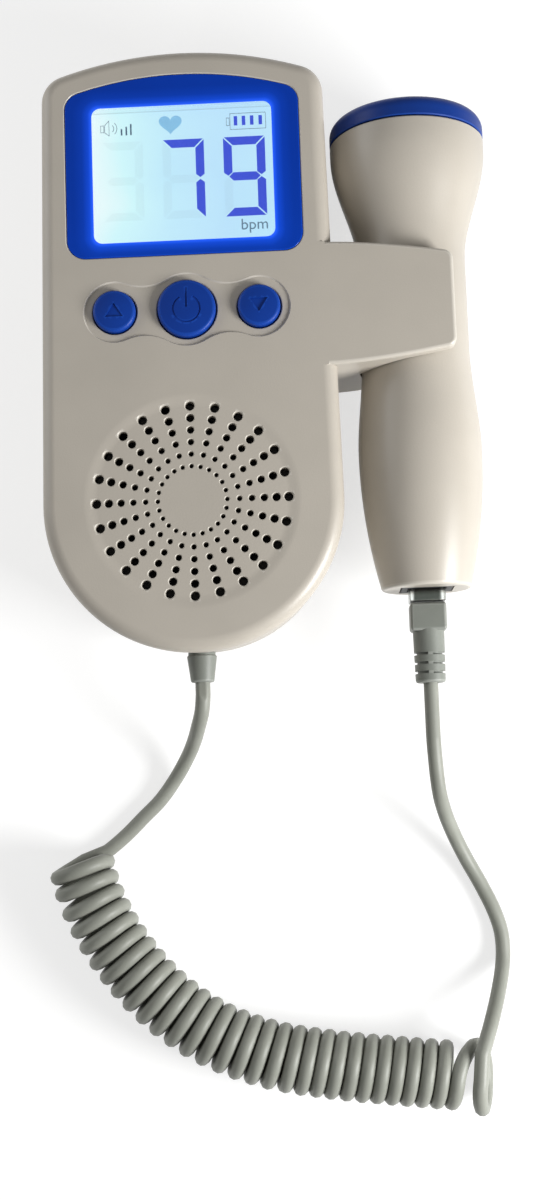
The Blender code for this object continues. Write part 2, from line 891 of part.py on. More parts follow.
def button_profile(radius):
    """Profile of a button cap: stem, flange under the shell and a domed top with a round edge."""
    flange = radius + touch_gap + button_flange_width
    flange_bottom = button_flange_top - button_flange_thickness
    profile = [
        (0, button_stem_bottom), (button_stem_radius, button_stem_bottom),
        (button_stem_radius, flange_bottom), (flange, flange_bottom),
        (flange, button_flange_top), (radius, button_flange_top),
    ]
    low = button_top - button_edge_radius
    edge = arc(radius - button_edge_radius, low, button_edge_radius, 0, pi / 2, button_edge_steps)
    return profile + edge + [(0, button_top + button_dome)]


def make_buttons(cap, body, metal):
    """Three button caps, each over a tactile switch on the board with a moving plunger."""
    names = ["power", "volume_up", "volume_down"]
    for name, (x, radius) in zip(names, button_sizes()):
        bm = bmesh.new()
        add_turned(bm, button_profile(radius), turn_steps, upright(x, button_row_y))
        make_object(name + "_button", bm, cap, (x, button_row_y, button_top))
        bm = bmesh.new()
        half = switch_side / 2
        base = board_top + touch_gap
        top = base + switch_height
        add_box(bm, (x - half, button_row_y - half, base), (x + half, button_row_y + half, top))
        switch = make_object(name + "_switch", bm, body)
        seat = plunger_radius + touch_gap
        floor = top - plunger_seat_depth - button_travel - touch_gap
        place = upright(x, button_row_y)
        bm = bmesh.new()
        high = top + cut_overrun
        add_turned(bm, [(0, floor), (seat, floor), (seat, high), (0, high)], small_turn_steps, place)
        carve(switch, name + "_switch_seat", bm)
        bm = bmesh.new()
        low = top - plunger_seat_depth
        profile = [(0, low), (plunger_radius, low), (plunger_radius, plunger_top), (0, plunger_top)]
        add_turned(bm, profile, small_turn_steps, place)
        make_object(name + "_switch_plunger", bm, metal, (x, button_row_y, plunger_top))


def make_speaker(steel, paper, magnet):
    """Speaker behind the grille: basket, cone and magnet."""
    top = inner_front - touch_gap
    ring = speaker_radius - speaker_flange_width
    under = top - speaker_flange_thickness
    back = under - speaker_basket_depth
    thick = speaker_basket_thickness
    frame = [
        (0, back), (magnet_radius + thick, back), (ring + thick, under - thick),
        (speaker_radius, under), (speaker_radius, top), (ring, top), (ring, under),
        (magnet_radius, back + thick), (0, back + thick),
    ]
    place = upright(0, speaker_y)
    bm = bmesh.new()
    add_turned(bm, frame, speaker_steps, place)
    make_object("speaker_frame", bm, steel)
    cone_edge = ring - touch_gap
    cone_top = under + touch_gap + cone_thickness
    cone_low = back + thick + touch_gap
    narrow = magnet_radius - touch_gap
    cone = [
        (0, cone_low), (narrow, cone_low), (cone_edge, cone_top - cone_thickness),
        (cone_edge, cone_top), (narrow, cone_low + cone_thickness), (0, cone_low + cone_thickness),
    ]
    bm = bmesh.new()
    add_turned(bm, cone, speaker_steps, place)
    make_object("speaker_cone", bm, paper)
    high = back - touch_gap
    low = high - magnet_thickness
    bm = bmesh.new()
    profile = [(0, low), (magnet_radius, low), (magnet_radius, high), (0, high)]
    add_turned(bm, profile, speaker_steps, place)
    make_object("speaker_magnet", bm, magnet)


def make_jack(material):
    """Headphone jack under the board, with its barrel in the side of the case."""
    low_inset = draft_inset(jack_height - jack_body_height / 2)
    inner_x = case_top_half_width - low_inset - case_wall - touch_gap
    start_x = bay_half_width + bay_wall + touch_gap
    half = jack_body_width / 2
    bm = bmesh.new()
    low = (start_x, jack_y - half, jack_height - jack_body_height / 2)
    add_box(bm, low, (inner_x, jack_y + half, jack_height + jack_body_height / 2))
    jack = make_object("headphone_jack", bm, material)
    face_x = case_top_half_width - parting_inset - touch_gap
    barrel = [
        (0, inner_x - case_wall), (jack_barrel_radius, inner_x - case_wall),
        (jack_barrel_radius, face_x), (0, face_x),
    ]
    bm = bmesh.new()
    place = along_x(jack_y, jack_height)
    add_turned(bm, barrel, small_turn_steps, place)
    fuse(jack, "jack_barrel", bm)
    end = face_x + cut_overrun
    floor = start_x + jack_end_wall
    bm = bmesh.new()
    bore = [(0, floor), (jack_bore_radius, floor), (jack_bore_radius, end), (0, end)]
    add_turned(bm, bore, small_turn_steps, place)
    carve(jack, "jack_bore", bm)


def screw_profile(shank_length):
    """Profile of a screw, head down, with its seat at height zero."""
    return [
        (0, -screw_head_height), (screw_head_radius, -screw_head_height), (screw_head_radius, 0),
        (screw_shank_radius, 0), (screw_shank_radius, shank_length), (0, shank_length),
    ]


def make_screw(name, x, y, seat, shank_length, material):
    """Screw driven upwards, with a crossed slot in its head."""
    bm = bmesh.new()
    add_turned(bm, screw_profile(shank_length), small_turn_steps, upright(x, y, seat))
    screw = make_object(name, bm, material)
    reach = screw_head_radius - screw_slot_width
    half = screw_slot_width / 2
    low = seat - screw_head_height - cut_overrun
    high = seat - screw_head_height + screw_slot_depth
    cross = [
        (half, half), (half, reach), (-half, reach), (-half, half), (-reach, half), (-reach, -half),
        (-half, -half), (-half, -reach), (half, -reach), (half, -half), (reach, -half), (reach, half),
    ]
    bm = bmesh.new()
    add_prism(bm, [(x + dx, y + dy) for dx, dy in cross], low, high)
    carve(screw, name + "_slot", bm)


def make_screws(material):
    """Case screws from behind, and board screws into the front shell's short posts."""
    seat = screw_seat_height - touch_gap
    for i, (x, y) in enumerate(case_post_places()):
        make_screw(f"case_screw_{i + 1}", x, y, seat, parting_height + screw_bite - seat, material)
    seat = board_bottom - touch_gap
    for i, (x, y) in enumerate(board_post_places()):
        make_screw(f"board_screw_{i + 1}", x, y, seat, board_top + board_screw_bite - seat, material)


def make_cells(material):
    """Two cells side by side that point opposite ways."""
    radius = cell_radius
    body = cell_length - cell_nub_height
    profile = [
        (0, 0), (radius - cell_edge, 0), (radius, cell_edge), (radius, body - cell_edge),
        (radius - cell_edge, body), (cell_nub_radius, body), (cell_nub_radius, cell_length),
        (0, cell_length),
    ]
    for name, side in (("left", -1), ("right", 1)):
        bm = bmesh.new()
        place = along_y(side * cell_x, cell_height)
        if side < 0:
            place = place @ Matrix.Translation((0, 0, bay_high_y - bay_end_gap - cell_length))
        else:
            place = place @ Matrix.Translation((0, 0, bay_low_y + bay_end_gap + cell_length))
            place = place @ Matrix.Rotation(pi, 4, "X")
        add_turned(bm, profile, small_turn_steps, place)
        make_object("battery_cell_" + name, bm, material)


def make_contact(name, low_x, high_x, low_y, material):
    """Flat contact plate at an end of the bay."""
    bm = bmesh.new()
    low = (low_x, low_y, cell_height - contact_half_height)
    add_box(bm, low, (high_x, low_y + contact_thickness, cell_height + contact_half_height))
    make_object(name, bm, material)


def add_wire(bm, points, radius, sides):
    """Adds a round wire through points, with flat ends."""
    rings = []
    for i, point in enumerate(points):
        before = points[max(0, i - 1)]
        after = points[min(len(points) - 1, i + 1)]
        tangent = (after - before).normalized()
        side = tangent.cross(Vector((0, 1, 0))).normalized()
        up = side.cross(tangent)
        ring = arc(0, 0, radius, 0, tau * (sides - 1) / sides, sides - 1)
        rings.append([point + side * a + up * b for a, b in ring])
    add_rings(bm, rings)


def make_spring(name, x, start_y, direction, material):
    """Conical contact spring that presses on a cell's flat end."""
    count = spring_turns * spring_steps
    travel = spring_length - 2 * spring_wire_radius - 2 * touch_gap
    points = []
    for i in range(count + 1):
        share = i / count
        angle = tau * spring_turns * share
        radius = spring_wide_radius + (spring_narrow_radius - spring_wide_radius) * share
        y = start_y + direction * (touch_gap + spring_wire_radius + travel * share)
        points.append(Vector((x + radius * cos(angle), y, cell_height + radius * sin(angle))))
    bm = bmesh.new()
    add_wire(bm, points, spring_wire_radius, wire_steps)
    make_object(name, bm, material)


def make_contacts(material):
    """Contact plates and springs of the battery bay."""
    low_y = bay_low_y + touch_gap
    high_y = bay_high_y - touch_gap - contact_thickness
    half = contact_half_width
    make_contact("battery_negative_plate", -cell_x - half, -cell_x + half, low_y, material)
    make_contact("battery_positive_plate", cell_x - half, cell_x + half, low_y, material)
    make_contact("battery_bridge_plate", -cell_x - half, cell_x + half, high_y, material)
    make_spring("battery_lower_spring", -cell_x, low_y + contact_thickness, 1, material)
    make_spring("battery_upper_spring", cell_x, high_y, -1, material)


def make_door(material):
    """Battery door with two tabs at its lower end and grip grooves near the other."""
    bm = bmesh.new()
    low = (-door_half_width, door_low_y, 0)
    add_box(bm, low, (door_half_width, door_high_y, door_thickness))
    door = make_object("battery_door", bm, material, (0, door_low_y, 0))
    tab_low = case_wall + touch_gap
    tab_high = tab_low + door_tab_thickness
    foot = door_thickness / 2
    bm = bmesh.new()
    for side in (-1, 1):
        outer = side * (door_half_width - touch_gap)
        inner = outer - side * door_tab_width
        yz = [
            (door_low_y + touch_gap, foot), (door_low_y + door_tab_reach, foot),
            (door_low_y + door_tab_reach, tab_high), (door_low_y - door_tab_reach, tab_high),
            (door_low_y - door_tab_reach, tab_low), (door_low_y + touch_gap, tab_low),
        ]
        add_rings(bm, [[Vector((x, y, z)) for y, z in yz] for x in (inner, outer)])
    fuse(door, "door_tabs", bm)
    bm = bmesh.new()
    half = door_grip_width / 2
    for i in range(door_grip_count):
        y = door_high_y - door_grip_groove * 2 * (i + 2)
        add_box(bm, (-half, y, -cut_overrun), (half, y + door_grip_groove, door_grip_depth))
    carve(door, "door_grip", bm)


def smooth_step(share):
    """Rises from 0 to 1 with level ends."""
    share = min(1, max(0, share))
    return share * share * (3 - 2 * share)


def probe_radius(y):
    """Outer radius of the probe's body along its axis."""
    if y >= neck_low_y:
        rise = smooth_step((y - neck_high_y) / neck_to_head_rise)
        return probe_neck_radius + (probe_head_radius - probe_neck_radius) * rise
    if y >= grip_y:
        swell = smooth_step((neck_low_y - y) / neck_to_grip_drop)
        return probe_neck_radius + (probe_grip_radius - probe_neck_radius) * swell
    share = (grip_y - y) / grip_to_tail_drop
    return probe_grip_radius - (probe_grip_radius - probe_tail_radius) * share**2


def probe_stations(low_y, high_y, parts):
    """Evenly spaced places along the probe's axis."""
    return [low_y + (high_y - low_y) * i / parts for i in range(parts + 1)]


def make_probe_body(material):
    """Hollow turned handle of the probe, with the socket's opening in its tail."""
    start = tail_y + probe_tail_edge
    ys = probe_stations(start, grip_y, 5)
    ys += probe_stations(grip_y, neck_low_y, 4)[1:]
    ys += [neck_high_y]
    ys += probe_stations(neck_high_y, head_y, 6)[1:]
    ys += [cap_y - touch_gap]
    outer = [(probe_radius(tail_y) - probe_tail_edge, tail_y)]
    outer += [(probe_radius(y), y) for y in ys]
    inner_start = tail_y + probe_tail_wall
    inner_ys = probe_stations(inner_start, grip_y, 2)
    inner_ys += probe_stations(grip_y, neck_low_y, 2)[1:]
    inner_ys += [neck_high_y]
    inner_ys += probe_stations(neck_high_y, head_y, 3)[1:]
    inner = [(probe_radius(y) - probe_wall, y) for y in inner_ys]
    mouth = probe_head_radius - probe_wall
    profile = [(0, tail_y)] + outer + [(mouth, cap_y - touch_gap)] + inner[::-1] + [(0, inner_start)]
    bm = bmesh.new()
    add_turned(bm, profile, turn_steps, along_y(probe_x, probe_height))
    body = make_object("probe_body", bm, material, (probe_x, head_y, probe_height))
    half_x = socket_width / 2 + touch_gap
    half_z = socket_height / 2 + touch_gap
    bm = bmesh.new()
    low = (probe_x - half_x, tail_y - cut_overrun, probe_height - half_z)
    add_box(bm, low, (probe_x + half_x, inner_start + cut_overrun, probe_height + half_z))
    carve(body, "socket_opening", bm)


def make_probe_cap(material):
    """Face cap of the probe: a spigot in the body, a round rim and a slightly domed face."""
    rim_y = cap_y + cap_rim
    face_y = rim_y + cap_edge_radius
    spigot_y = cap_y - cap_spigot_depth
    edge = arc(probe_head_radius - cap_edge_radius, rim_y, cap_edge_radius, 0, pi / 2, corner_steps)
    profile = [
        (0, cap_inner_y), (cap_bore_radius, cap_inner_y), (cap_bore_radius, spigot_y),
        (spigot_radius, spigot_y), (spigot_radius, cap_y), (probe_head_radius, cap_y),
    ]
    profile += edge + [(0, face_y + cap_dome)]
    bm = bmesh.new()
    add_turned(bm, profile, turn_steps, along_y(probe_x, probe_height))
    make_object("probe_face_cap", bm, material)


def make_transducer(ceramic, foam):
    """Two half-round crystals behind the face, and the backing that holds them there."""
    high = cap_inner_y - touch_gap
    low = high - crystal_thickness
    start = asin(crystal_split / 2 / crystal_radius)
    names = {"transmit_crystal": start, "receive_crystal": start + pi}
    for name, angle in names.items():
        outline = arc(0, 0, crystal_radius, angle, angle + pi - 2 * start, low_arc_steps)
        rings = [[Vector((probe_x + x, y, probe_height + z)) for x, z in outline] for y in (low, high)]
        bm = bmesh.new()
        add_rings(bm, rings)
        make_object(name, bm, ceramic)
    back = low - touch_gap
    front = back - backing_thickness
    profile = [(0, front), (crystal_radius, front), (crystal_radius, back), (0, back)]
    bm = bmesh.new()
    add_turned(bm, profile, turn_steps, along_y(probe_x, probe_height))
    make_object("acoustic_backing", bm, foam)
    return front


def make_probe_board(material, high_y):
    """Narrow board along the handle, held at its edges by the neck."""
    half = probe_neck_radius - probe_wall - touch_gap
    half = sqrt(half**2 - (probe_board_thickness / 2) ** 2)
    tail_half = probe_radius(socket_inner_y) - probe_wall - probe_board_margin
    half_thick = probe_board_thickness / 2
    low = socket_inner_y + touch_gap
    outline = [
        (-tail_half, low), (tail_half, low), (half, grip_y), (half, high_y),
        (-half, high_y), (-half, grip_y),
    ]
    bm = bmesh.new()
    outline = [(probe_x + x, y) for x, y in outline]
    add_prism(bm, outline, probe_height - half_thick, probe_height + half_thick)
    make_object("probe_board", bm, material)


def make_socket(material):
    """Modular socket in the probe's tail, open towards the cord."""
    half_x = socket_width / 2
    half_z = socket_height / 2
    bm = bmesh.new()
    low = (probe_x - half_x, tail_y, probe_height - half_z)
    add_box(bm, low, (probe_x + half_x, socket_inner_y, probe_height + half_z))
    socket = make_object("probe_socket", bm, material)
    half_x = plug_width / 2 + touch_gap
    half_z = plug_height / 2 + touch_gap
    bm = bmesh.new()
    low = (probe_x - half_x, tail_y - cut_overrun, probe_height - half_z)
    add_box(bm, low, (probe_x + half_x, plug_front_y + touch_gap, probe_height + half_z))
    carve(socket, "socket_cavity", bm)


def contact_offsets():
    """Places of the plug's contacts across its width."""
    middle = (plug_contact_count - 1) / 2
    return [plug_contact_pitch * (i - middle) for i in range(plug_contact_count)]


def make_plug(clear, gold):
    """Clear modular plug with its contact blades in slots at the front."""
    half_x = plug_width / 2
    half_z = plug_height / 2
    bm = bmesh.new()
    low = (probe_x - half_x, plug_rear_y, probe_height - half_z)
    add_box(bm, low, (probe_x + half_x, plug_front_y, probe_height + half_z))
    plug = make_object("cord_plug", bm, clear, (probe_x, plug_rear_y, probe_height))
    bottom = probe_height - half_z
    slots = bmesh.new()
    for i, offset in enumerate(contact_offsets()):
        x = probe_x + offset
        half = plug_contact_thickness / 2
        slot = half + touch_gap
        rear_y = plug_front_y - plug_contact_length
        high = bottom + plug_contact_depth
        low = (x - slot, rear_y, bottom - cut_overrun)
        add_box(slots, low, (x + slot, plug_front_y + cut_overrun, high))
        bm = bmesh.new()
        low = (x - half, rear_y + touch_gap, bottom + touch_gap)
        add_box(bm, low, (x + half, plug_front_y - touch_gap, high - touch_gap))
        make_object(f"plug_contact_{i + 1}", bm, gold)
    carve(plug, "contact_slots", slots)


def make_plug_boot(material):
    """Collar behind the plug and the grooved boot that tapers onto the cord, in one moulding."""
    half_x = plug_width / 2
    half_z = collar_height / 2
    bm = bmesh.new()
    low = (probe_x - half_x, boot_start_y, probe_height - half_z)
    add_box(bm, low, (probe_x + half_x, collar_front_y, probe_height + half_z))
    boot = make_object("cord_plug_boot", bm, material, (probe_x, boot_start_y, probe_height))
    profile = [(0, boot_start_y + collar_length / 2), (boot_start_radius, boot_start_y + collar_length / 2)]
    spacing = boot_length / (boot_groove_count + 1)
    for i in range(boot_groove_count):
        start = boot_start_y - spacing * (i + 1) + boot_groove_width / 2
        end = start - boot_groove_width
        radius = boot_radius(start)
        bottom = radius - boot_groove_depth
        profile += [(radius, start), (bottom, start), (bottom, end), (boot_radius(end), end)]
    profile += [(boot_end_radius, boot_end_y), (0, boot_end_y)]
    bm = bmesh.new()
    add_turned(bm, profile, small_turn_steps, along_y(probe_x, probe_height))
    fuse(boot, "boot_sleeve", bm)


def boot_radius(y):
    """Outer radius of the boot along its taper."""
    share = (boot_start_y - y) / boot_length
    return boot_start_radius + (boot_end_radius - boot_start_radius) * share


def make_gland(material):
    """Gland of the cord: a flange inside the case, a neck in its wall and a tapered sleeve."""
    inner_y = case_low_y + draft_inset(parting_height - gland_flange_radius) + case_wall + gland_seat
    face_y = case_low_y + draft_inset(parting_height + gland_start_radius) - touch_gap
    profile = [
        (0, inner_y + gland_flange_thickness), (gland_flange_radius, inner_y + gland_flange_thickness),
        (gland_flange_radius, inner_y), (gland_neck_radius, inner_y), (gland_neck_radius, face_y),
        (gland_start_radius, face_y), (gland_end_radius, gland_end_y), (0, gland_end_y),
    ]
    bm = bmesh.new()
    add_turned(bm, profile, small_turn_steps, along_y(0, parting_height))
    make_object("cord_gland", bm, material, (0, gland_end_y, parting_height))


def smooth_curve(route):
    """Points on a Catmull-Rom curve through a route's own points, but for its first and last."""
    route = [Vector(point) for point in route]
    points = []
    for a, b, c, d in zip(route, route[1:], route[2:], route[3:]):
        for i in range(span_steps):
            t = i / span_steps
            cubic = (d - a + (b - c) * 3) * t**3 + (a * 2 - b * 5 + c * 4 - d) * t**2
            points.append((cubic + (c - a) * t) / 2 + b)
    return points + [route[-2]]


def spaced(points, count, guide=None):
    """The same curve as points that are evenly spaced along it, or along a guide beside it."""
    coords = np.array([tuple(point) for point in points])
    measured = np.array([tuple(point) for point in guide or points])
    steps = np.linalg.norm(np.diff(measured, axis=0), axis=1)
    along = np.concatenate([[0], np.cumsum(steps)])
    wanted = np.linspace(0, along[-1], count)
    columns = [np.interp(wanted, along, coords[:, i]) for i in range(coords.shape[1])]
    return [Vector(point) for point in zip(*columns)]


def curl_axis(share, axis):
    """Point and direction on the curly part's axis at a share of its length."""
    place = share * (len(axis) - 1)
    i = min(int(place), len(axis) - 2)
    point = axis[i].lerp(axis[i + 1], place - i)
    tangent = (axis[i + 1] - axis[i]).normalized()
    return point, tangent


def even_axis():
    """Axis of the curly part, spaced so that the curls lie evenly on the inside of its bend."""
    fine = smooth_curve([(x, y, curl_height) for x, y in curl_route])
    last = len(fine) - 1
    inside = []
    for i, point in enumerate(fine):
        tangent = (fine[min(last, i + 1)] - fine[max(0, i - 1)]).normalized()
        inside.append(point + Vector((0, 0, 1)).cross(tangent) * curl_radius)
    return spaced(fine, axis_steps, inside)


def curl_point(share, axis):
    """Point on the cord's centre line in its curls, from the unit's end to the probe's end.

    The cord starts under the first curl and leaves over the last one, which stands open."""
    eased = share - curl_ease_share * share * (1 - share) ** 2
    angle = pi + tau * curl_turns * eased
    point, tangent = curl_axis(share, axis)
    across = tangent.cross(Vector((0, 0, 1)))
    to_end = curl_turns * (1 - eased)
    bump = sin(pi * to_end) ** 2 if to_end < 1 else 0
    radius = curl_radius + last_curl_growth * bump
    lean = curl_lean_share * max(0, 1 - share / curl_lean_end_share)
    side = -sin(angle) * radius
    shift = side * lean + last_curl_bulge * bump
    if to_end < 0.5:
        shift += last_curl_end_shift * (1 - bump)
    rise = cos(angle) * radius + last_curl_growth * bump
    return point + Vector((0, 0, rise)) + across * side + tangent * shift


def curl_points():
    """Centre line of the curly part, with a short straight end at each side."""
    axis = even_axis()
    count = round(curl_turns * curl_points_per_turn)
    points = [curl_point(i / count, axis) for i in range(count + 1)]
    back = ((points[0] - points[1]) * Vector((1, 1, 0))).normalized()
    start = back.slerp(Vector((0, 0, 1)).cross(axis[1] - axis[0]).normalized(), first_curl_entry_share)
    end = Vector((0, 0, 1)).cross(axis[-1] - axis[-2]).normalized()
    return [points[0] + start * cord_diameter] + points + [points[-1] + end * cord_diameter]


def least_gap(points, diameter):
    """Least gap between parts of a tube that are over half a curl apart along it."""
    fine = spaced(points, len(points) * corner_steps)
    coords = np.array([tuple(point) for point in fine])
    apart = curl_points_per_turn * corner_steps // 2
    distances = np.linalg.norm(coords[:, None] - coords[None, :], axis=2)
    index = np.arange(len(coords))
    far = np.abs(index[:, None] - index[None, :]) > apart
    return distances[far].min() - diameter


def make_tube(name, points, sides_setting, material):
    """Round cord through points, with flat ends."""
    curve = bpy.data.curves.new(name, "CURVE")
    curve.dimensions = "3D"
    curve.bevel_depth = cord_diameter / 2
    curve.bevel_resolution = sides_setting
    curve.use_fill_caps = True
    spline = curve.splines.new("POLY")
    spline.points.add(len(points) - 1)
    for spline_point, point in zip(spline.points, points):
        spline_point.co = (*point, 1)
    curve.materials.append(material)
    obj = bpy.data.objects.new(name, curve)
    bpy.context.scene.collection.objects.link(obj)


def stretch_points(start, leave, route, end, arrive, end_lead):
    """Centre line of a free stretch, straight at both ends, a point about every two diameters."""
    first = start + leave * cord_diameter
    last = end - arrive * end_lead
    fine = smooth_curve([start, first] + route + [last, end])
    length = sum((b - a).length for a, b in zip(fine, fine[1:]))
    return [start] + spaced(fine, round(length / (2 * cord_diameter)) + 1) + [end]


def make_cord(material):
    """The cord: a free stretch at the unit, the curls and a free stretch at the probe."""
    curls = curl_points()
    into = (curls[1] - curls[0]).normalized()
    out = (curls[-1] - curls[-2]).normalized()
    gland = Vector((0, gland_end_y - touch_gap, parting_height))
    boot = Vector((probe_x, boot_end_y - touch_gap, probe_height))
    down = Vector((0, -1, 0))
    unit_end = curls[0] - into * touch_gap
    unit_stretch = stretch_points(gland, down, unit_stretch_route, unit_end, into, cord_diameter)
    probe_start = curls[-1] + out * touch_gap
    probe_stretch = stretch_points(probe_start, out, probe_stretch_route, boot, -down, plug_travel)
    make_tube("cord_unit_stretch", unit_stretch, 2, material)
    make_tube("cord_coil", curls, 1, material)
    make_tube("cord_probe_stretch", probe_stretch, 2, material)
    lengths = []
    for points in (unit_stretch, curls, probe_stretch):
        lengths.append(sum((b - a).length for a, b in zip(points, points[1:])))
    print("cord lengths", [round(length, 4) for length in lengths], "in all", round(sum(lengths), 4))
    print("least gap between curls", round(least_gap(curls, cord_diameter), 5))


def main():
    clear_scene()
    cream = make_material("cream_plastic", (0.66, 0.62, 0.56), 0.5)
    blue = make_material("blue_plastic", (0.01, 0.07, 0.45), 0.35)
    lens_blue = make_material("lens_plastic", (0.01, 0.05, 0.5), 0.1)
    grey = make_material("grey_cord_plastic", (0.42, 0.44, 0.39), 0.5)
    clear = make_material("clear_plastic", (0.75, 0.77, 0.74), 0.15)
    black = make_material("black_plastic", (0.02, 0.02, 0.02), 0.45)
    white = make_material("white_plastic", (0.8, 0.85, 0.9), 0.4)
    glass = make_material("display_glass", (0.6, 0.85, 1.0), 0.1)
    green = make_material("board_laminate", (0.03, 0.22, 0.08), 0.4)
    steel = make_material("plated_steel", (0.6, 0.6, 0.6), 0.3, 1.0)
    gold = make_material("gold_plate", (0.8, 0.6, 0.2), 0.25, 1.0)
    ferrite = make_material("ferrite", (0.08, 0.08, 0.08), 0.6)
    paper = make_material("cone_paper", (0.05, 0.05, 0.05), 0.9)
    ceramic = make_material("crystal_ceramic", (0.7, 0.6, 0.4), 0.5)
    foam = make_material("backing_resin", (0.15, 0.12, 0.1), 0.8)
    wrap = make_material("cell_wrap", (0.1, 0.12, 0.15), 0.3)
    make_front_shell(cream)
    make_rear_shell(cream)
    make_lens(lens_blue)
    make_lcd(glass, white, black)
    make_board(green, black)
    make_buttons(blue, black, steel)
    make_speaker(steel, paper, ferrite)
    make_jack(black)
    make_screws(steel)
    make_cells(wrap)
    make_contacts(steel)
    make_door(cream)
    make_probe_body(cream)
    make_probe_cap(blue)
    make_probe_board(green, make_transducer(ceramic, foam) - touch_gap)
    make_socket(black)
    make_plug(clear, gold)
    make_plug_boot(grey)
    make_gland(grey)
    make_cord(grey)


main()
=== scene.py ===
"""Looks of the hand-held monitor, the probe in its clip and the curly cord between them.

All lengths are in metres. The unit lies on its back with its display up, +Y points to the
display end and +X to the probe, as in the solids that this script loads.
"""

import json
from math import atan2, cos, pi, radians, sin, sqrt, tan, tau

import bmesh
import bpy
import numpy as np
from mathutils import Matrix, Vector

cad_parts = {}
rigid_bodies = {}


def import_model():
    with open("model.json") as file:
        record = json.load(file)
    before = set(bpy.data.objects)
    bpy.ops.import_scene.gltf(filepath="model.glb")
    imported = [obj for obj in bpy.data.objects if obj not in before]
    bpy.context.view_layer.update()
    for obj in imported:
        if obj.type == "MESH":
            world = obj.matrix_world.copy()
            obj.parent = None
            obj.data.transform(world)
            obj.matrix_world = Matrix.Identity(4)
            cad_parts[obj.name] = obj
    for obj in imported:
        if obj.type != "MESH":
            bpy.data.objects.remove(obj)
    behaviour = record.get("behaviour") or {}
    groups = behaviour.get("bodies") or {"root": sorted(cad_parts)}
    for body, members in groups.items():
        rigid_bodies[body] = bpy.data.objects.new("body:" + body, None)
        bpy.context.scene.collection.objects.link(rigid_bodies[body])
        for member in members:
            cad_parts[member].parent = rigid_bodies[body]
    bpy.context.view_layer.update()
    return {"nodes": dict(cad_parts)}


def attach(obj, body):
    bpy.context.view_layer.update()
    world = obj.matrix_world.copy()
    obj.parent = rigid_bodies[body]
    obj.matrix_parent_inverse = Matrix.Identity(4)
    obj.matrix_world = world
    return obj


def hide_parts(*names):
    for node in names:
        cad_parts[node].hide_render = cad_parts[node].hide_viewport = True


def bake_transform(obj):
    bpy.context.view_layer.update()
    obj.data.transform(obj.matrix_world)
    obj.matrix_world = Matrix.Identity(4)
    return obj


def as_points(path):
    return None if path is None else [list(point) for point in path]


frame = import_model()


# The room: a white table top that keeps the shadows, and a camera almost straight above.
# The main lamp stands low at the lower right, a weak broad one at the upper left, and the
# room's own light fills the rest.
bpy.ops.object.select_all(action="DESELECT")
bpy.ops.object.camera_add(location=(0.02777, -0.09987, 0.38132))
camera = bpy.context.object
camera.rotation_mode = "ZYX"
camera.rotation_euler = (0.1192, 0.02996, -0.03878)
camera.data.sensor_width = 36
camera.data.lens = 48
camera.data.clip_start = 0.01
bpy.context.scene.camera = camera
bpy.context.scene.view_settings.view_transform = "Standard"


def add_lamp(name, place, aim, size, power):
    """Adds a square lamp that points at a place."""
    bpy.ops.object.light_add(type="AREA", location=place)
    lamp = bpy.context.object
    lamp.name = name
    lamp.data.size = size
    lamp.data.energy = power
    lamp.rotation_euler = (Vector(aim) - Vector(place)).to_track_quat("-Z", "Y").to_euler()


def set_inputs(tree, node, inputs):
    """Gives a node's inputs their values, or links from the outputs of other nodes."""
    for socket, value in inputs.items():
        if isinstance(value, bpy.types.NodeSocket):
            tree.links.new(value, node.inputs[socket])
        else:
            node.inputs[socket].default_value = value


def add_node(tree, kind, inputs=None, **settings):
    """Adds a shader node with its settings and inputs."""
    node = tree.nodes.new("ShaderNode" + kind)
    for name, value in settings.items():
        setattr(node, name, value)
    set_inputs(tree, node, inputs or {})
    return node


def start_finish(name):
    """Starts a finish, and gives it with its node tree."""
    finish = bpy.data.materials.new(name)
    finish.use_nodes = True
    return finish, finish.node_tree


def set_shader(tree, inputs):
    """Gives a finish's shader its inputs."""
    set_inputs(tree, tree.nodes["Principled BSDF"], inputs)


def add_place(tree):
    """Gives the place on the piece, as a vector."""
    return add_node(tree, "TexCoord").outputs["Object"]


def add_math(tree, operation, *values):
    """Adds a calculation on values or outputs, and gives its result."""
    return add_node(tree, "Math", dict(enumerate(values)), operation=operation).outputs[0]


def add_range(tree, value, low, high, to_low=0.0, to_high=1.0):
    """Adds a clamped map from one range to another, and gives its result."""
    return add_node(tree, "MapRange", {
        "Value": value, "From Min": low, "From Max": high, "To Min": to_low, "To Max": to_high,
    }).outputs[0]


def add_mix(tree, factor, first, second, blend="MIX"):
    """Adds a mix of two colours, and gives its result."""
    inputs = {"Factor": factor, 6: first, 7: second}
    return add_node(tree, "Mix", inputs, data_type="RGBA", blend_type=blend).outputs[2]


add_lamp("side_lamp", (0.385, -0.225, 0.215), (0.02, -0.03, 0.01), 0.18, 3.2)
add_lamp("fill_lamp", (-0.50, 0.22, 0.20), (0.02, -0.03, 0), 0.40, 1.2)

room = bpy.data.worlds.new("room")
bpy.context.scene.world = room
room.use_nodes = True
tree = room.node_tree
seen = add_node(tree, "LightPath").outputs["Is Camera Ray"]
level = add_range(tree, seen, 0.0, 1.0, 0.28, 1.0)
set_inputs(tree, tree.nodes["Background"], {"Color": (1, 1, 1, 1), "Strength": level})

